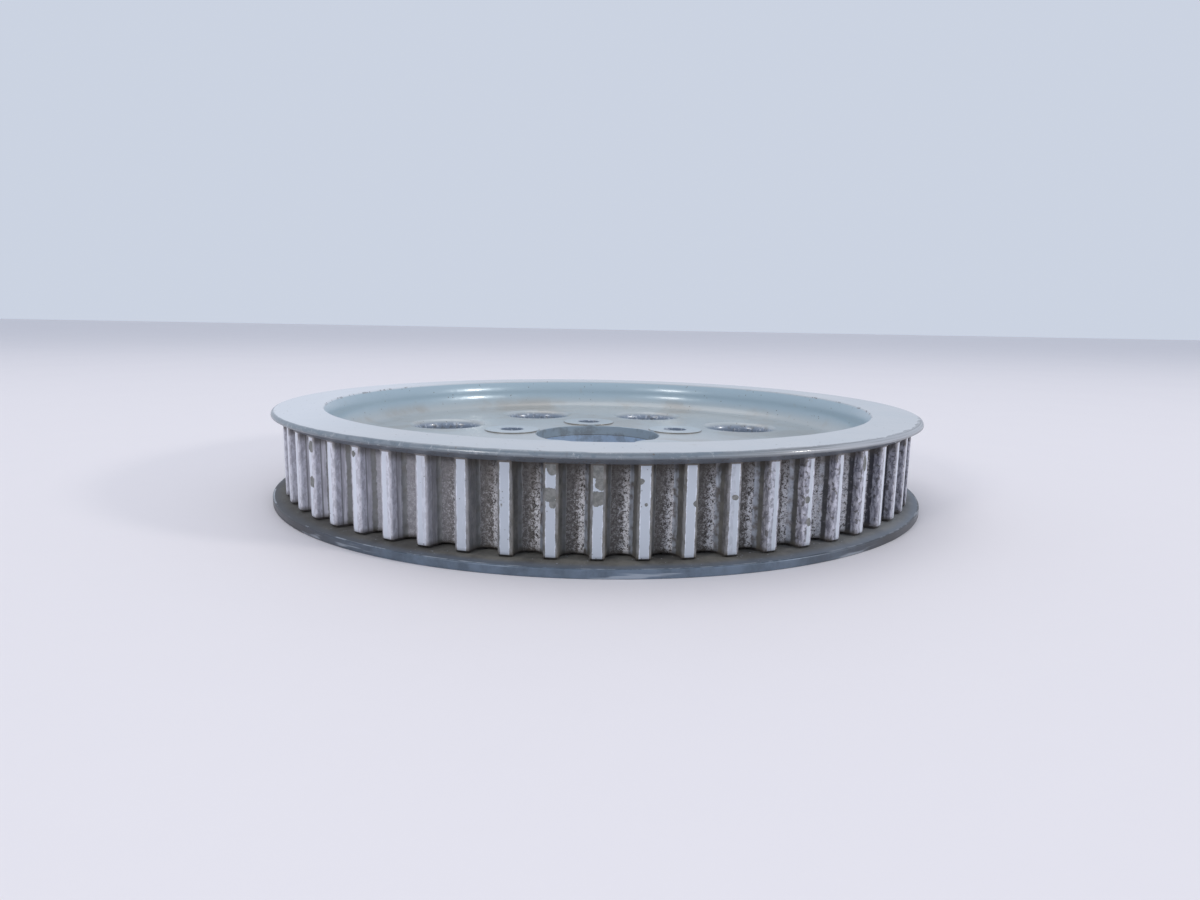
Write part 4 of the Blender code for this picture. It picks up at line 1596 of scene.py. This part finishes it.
@dataclass
class FlangeRing:
    """The separate lower flange, with its countersunk screw holes."""

    sizes: PulleySizes
    finish: RingFinish = RingFinish()
    steps: int = 240
    hole_steps: int = 32
    sharp_angle: float = 30.0
    edge_thickness: float = 2.9 * MM
    edge: float = 0.35 * MM
    seat_clearance: float = 0.3 * MM
    throat: float = 2.3 * MM
    mouth: float = 4.5 * MM
    tool_overrun: float = 2.0 * MM

    def outline(self) -> list[Point]:
        """The turned section, from its lower inner edge outwards."""
        sizes = self.sizes
        outer = sizes.ring_radius
        inner = sizes.spigot_radius + self.seat_clearance
        edge = self.edge
        return [
            (inner, edge),
            (inner + edge, 0.0),
            *arc((outer - edge, edge), edge, -90, 0, 4),
            *arc((outer - edge, self.edge_thickness - edge), edge, 0, 80, 4),
            (sizes.land_radius, sizes.ring_thickness),
            (inner + edge, sizes.ring_thickness),
            (inner, sizes.ring_thickness - edge),
        ]

    def build(self) -> bpy.types.Object:
        """Models the piece.

        Returns:
            The finished mesh object.
        """
        sizes = self.sizes
        piece = turned("flange_ring", self.outline(), self.steps).leave()
        over = self.tool_overrun
        high = sizes.ring_thickness + over
        outline = [
            (0.0, -over),
            (self.mouth + over, -over),
            (self.throat, self.mouth - self.throat),
            (self.throat, high),
            (0.0, high),
        ]
        places = (sizes.screw_circle, sizes.screw_count, 0.0)
        combine(piece, round_tools("countersinks", outline, self.hole_steps, *places), "DIFFERENCE")
        smooth(piece, self.sharp_angle)
        return piece

    def dress(self, piece: bpy.types.Object, effects: Effects) -> None:
        """Gives the piece its finish and its place in the frame."""
        clothe(piece, self.finish.make(effects, self.sizes))
        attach(piece, Body.WHOLE.value)
        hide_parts("lower_flange_ring")


@dataclass
class RingScrews:
    """The countersunk screws of the ring, each with a hexagon socket and a threaded shank."""

    sizes: PulleySizes
    finish: ScrewFinish = ScrewFinish()
    steps: int = 24
    sharp_angle: float = 30.0
    head_radius: float = 4.0 * MM
    shank_radius: float = 2.0 * MM
    length: float = 12.0 * MM
    sink: float = 0.2 * MM
    head_edge: float = 0.2 * MM
    thread_pitch: float = 0.7 * MM
    thread_depth: float = 0.35 * MM
    tip_chamfer: float = 0.5 * MM
    socket_radius: float = 1.45 * MM
    socket_depth: float = 1.3 * MM

    def outline(self) -> list[Point]:
        """The turned section, from the middle of the head to the middle of the tip."""
        neck = self.sink + self.head_radius - self.shank_radius
        low, high = neck + self.thread_pitch, self.sink + self.length - self.tip_chamfer
        turns = int((high - low) / self.thread_pitch)
        thread = []
        for i in range(turns):
            crest = low + (i + 0.5) * self.thread_pitch
            thread.append((self.shank_radius - self.thread_depth, crest - self.thread_pitch / 2))
            thread.append((self.shank_radius, crest))
        return [
            (0.0, self.sink),
            (self.head_radius - self.head_edge, self.sink),
            (self.head_radius, self.sink + self.head_edge),
            (self.shank_radius, neck + self.head_edge),
            *thread,
            (self.shank_radius - self.tip_chamfer, self.sink + self.length),
            (0.0, self.sink + self.length),
        ]

    def socket(self) -> bpy.types.Object:
        """The tool that cuts the hexagon socket of the first screw."""
        bpy.ops.object.select_all(action="DESELECT")
        radius, depth = self.socket_radius, self.socket_depth + self.sink + MM
        middle = (self.sizes.screw_circle, 0.0, self.sink + self.socket_depth - depth / 2)
        bpy.ops.mesh.primitive_cylinder_add(vertices=6, radius=radius, depth=depth, location=middle)
        tool = bpy.context.active_object
        bpy.ops.object.mode_set(mode="EDIT")
        bpy.ops.mesh.select_all(action="SELECT")
        bpy.ops.mesh.normals_make_consistent(inside=False)
        bpy.ops.object.mode_set(mode="OBJECT")
        bpy.ops.object.transform_apply(location=True, rotation=True, scale=True)
        return tool

    def build(self) -> list[bpy.types.Object]:
        """Models one screw and copies it round the ring.

        Returns:
            The screws.
        """
        sizes = self.sizes
        places = turned_places(self.outline(), sizes.screw_circle)
        work = Workpiece("ring_screw_01", places[0])
        work.draw(places[1:])
        work.spin(self.steps, centre=(sizes.screw_circle, 0.0))
        first = work.leave()
        combine(first, self.socket(), "DIFFERENCE")
        smooth(first, self.sharp_angle)
        screws = [first]
        for i in range(1, sizes.screw_count):
            make_active(first)
            bpy.ops.object.duplicate(linked=False)
            screw = bpy.context.active_object
            screw.name = f"ring_screw_{i + 1:02d}"
            screw.rotation_euler.z = math.tau * i / sizes.screw_count
            bpy.ops.object.transform_apply(location=True, rotation=True, scale=True)
            screws.append(screw)
        return screws

    def dress(self, screws: list[bpy.types.Object], effects: Effects) -> None:
        """Gives the screws their finish and their places in the frame."""
        material = self.finish.make(effects, self.sizes)
        for i, screw in enumerate(screws):
            clothe(screw, material)
            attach(screw, Body.WHOLE.value)
            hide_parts(f"flange_screw_{i + 1:02d}")


@dataclass
class Lamp:
    """A soft round lamp."""

    name: str
    place: Vector
    target: Vector
    size: float
    watts: float
    colour: Colour

    def build(self) -> None:
        """Adds the lamp to the scene."""
        light = bpy.data.lights.new(self.name, "AREA")
        light.shape = "DISK"
        light.size = self.size
        light.energy = self.watts
        light.color = self.colour
        lamp = bpy.data.objects.new(self.name, light)
        bpy.context.scene.collection.objects.link(lamp)
        lamp.location = self.place
        lamp.rotation_euler = (self.target - self.place).to_track_quat("-Z", "Y").to_euler()


@dataclass
class Studio:
    """The pale floor, the soft light and the camera."""

    floor_size: float = 14.0
    floor_colour: Colour = srgb(234, 230, 232)
    floor_cloud: Colour = srgb(214, 214, 224)
    floor_specular: float = 0.25
    world_colour: Colour = srgb(208, 216, 231)
    world_strength: float = 0.95
    camera_place: Vector = field(default_factory=lambda: Vector((0.0, -0.3524, 0.07353)))
    lens: float = 23.06
    sensor: float = 36.0
    pitch: float = 9.48
    yaw: float = 0.21
    roll: float = 1.03

    def build(self, effects: Effects) -> None:
        """Adds everything that isn't the object."""
        self.add_floor(effects)
        self.add_world()
        middle = Vector((0.0, 0.0, 0.02))
        lamps = (
            Lamp("lamp_left", Vector((-1.35, -1.6, 0.95)), middle, 0.45, 10.0, (1.0, 0.95, 0.90)),
            Lamp("lamp_right", Vector((2.25, -0.85, 0.95)), middle, 0.32, 19.0, (1.0, 0.95, 0.90)),
            Lamp("lamp_top", Vector((-0.3, 0.4, 1.5)), middle, 1.4, 5.0, (1.0, 0.94, 0.90)),
        )
        for lamp in lamps:
            lamp.build()
        self.add_camera()
        bpy.context.scene.view_settings.view_transform = "Standard"

    def add_floor(self, effects: Effects) -> None:
        """Adds the floor that the pulley lies on."""
        bpy.ops.object.select_all(action="DESELECT")
        bpy.ops.mesh.primitive_plane_add(size=self.floor_size, location=(0.0, 0.0, 0.0))
        floor = bpy.context.active_object
        floor.name = "studio_floor"
        work = Finish("studio_floor", effects)
        board = work.board
        cloud = board.noise(work.place, 9.0, 4.0, 0.6)
        colour = board.mix(cloud, self.floor_colour, self.floor_cloud, 0.12)
        work.set(Base_Color=colour, Roughness=board.ramp(cloud, 0.3, 0.7, 0.55, 0.65))
        work.set(Specular_IOR_Level=self.floor_specular)
        work.bump(board.noise(work.place, 70.0, 3.0, 0.5), 0.15 * MM)
        floor.data.materials.append(work.material)

    def add_world(self) -> None:
        """Adds an even pale surround."""
        world = bpy.data.worlds.new("studio_world")
        world.use_nodes = True
        background = world.node_tree.nodes["Background"]
        background.inputs["Color"].default_value = (*self.world_colour, 1.0)
        background.inputs["Strength"].default_value = self.world_strength
        bpy.context.scene.world = world

    def add_camera(self) -> None:
        """Adds the camera, low in front of the pulley and looking a little down."""
        pitch, yaw, roll = (math.radians(a) for a in (self.pitch, self.yaw, self.roll))
        level = math.cos(pitch)
        forward = Vector((math.sin(yaw) * level, math.cos(yaw) * level, -math.sin(pitch)))
        right = Vector((math.cos(yaw), -math.sin(yaw), 0.0))
        above = right.cross(forward)
        right, above = (
            math.cos(roll) * right + math.sin(roll) * above,
            math.cos(roll) * above - math.sin(roll) * right,
        )
        data = bpy.data.cameras.new("camera")
        data.lens = self.lens
        data.sensor_width = self.sensor
        data.clip_start = 0.01
        camera = bpy.data.objects.new("camera", data)
        bpy.context.scene.collection.objects.link(camera)
        turn = Matrix((right, above, -forward)).transposed()
        camera.matrix_world = Matrix.Translation(self.camera_place) @ turn.to_4x4()
        bpy.context.scene.camera = camera


def main() -> None:
    """Builds the pulley and its studio."""
    logging.basicConfig(level=logging.INFO, format="%(name)s: %(message)s")
    sizes = PulleySizes()
    effects = Effects(sizes)
    Studio().build(effects)
    for part in (CastBody(sizes), ToothedRim(sizes), FlangeRing(sizes), RingScrews(sizes)):
        made = part.build()
        part.dress(made, effects)
        for piece in made if isinstance(made, list) else [made]:
            LOG.info("%s: %d faces", piece.name, len(piece.data.polygons))


if __name__ == "__main__":
    main()
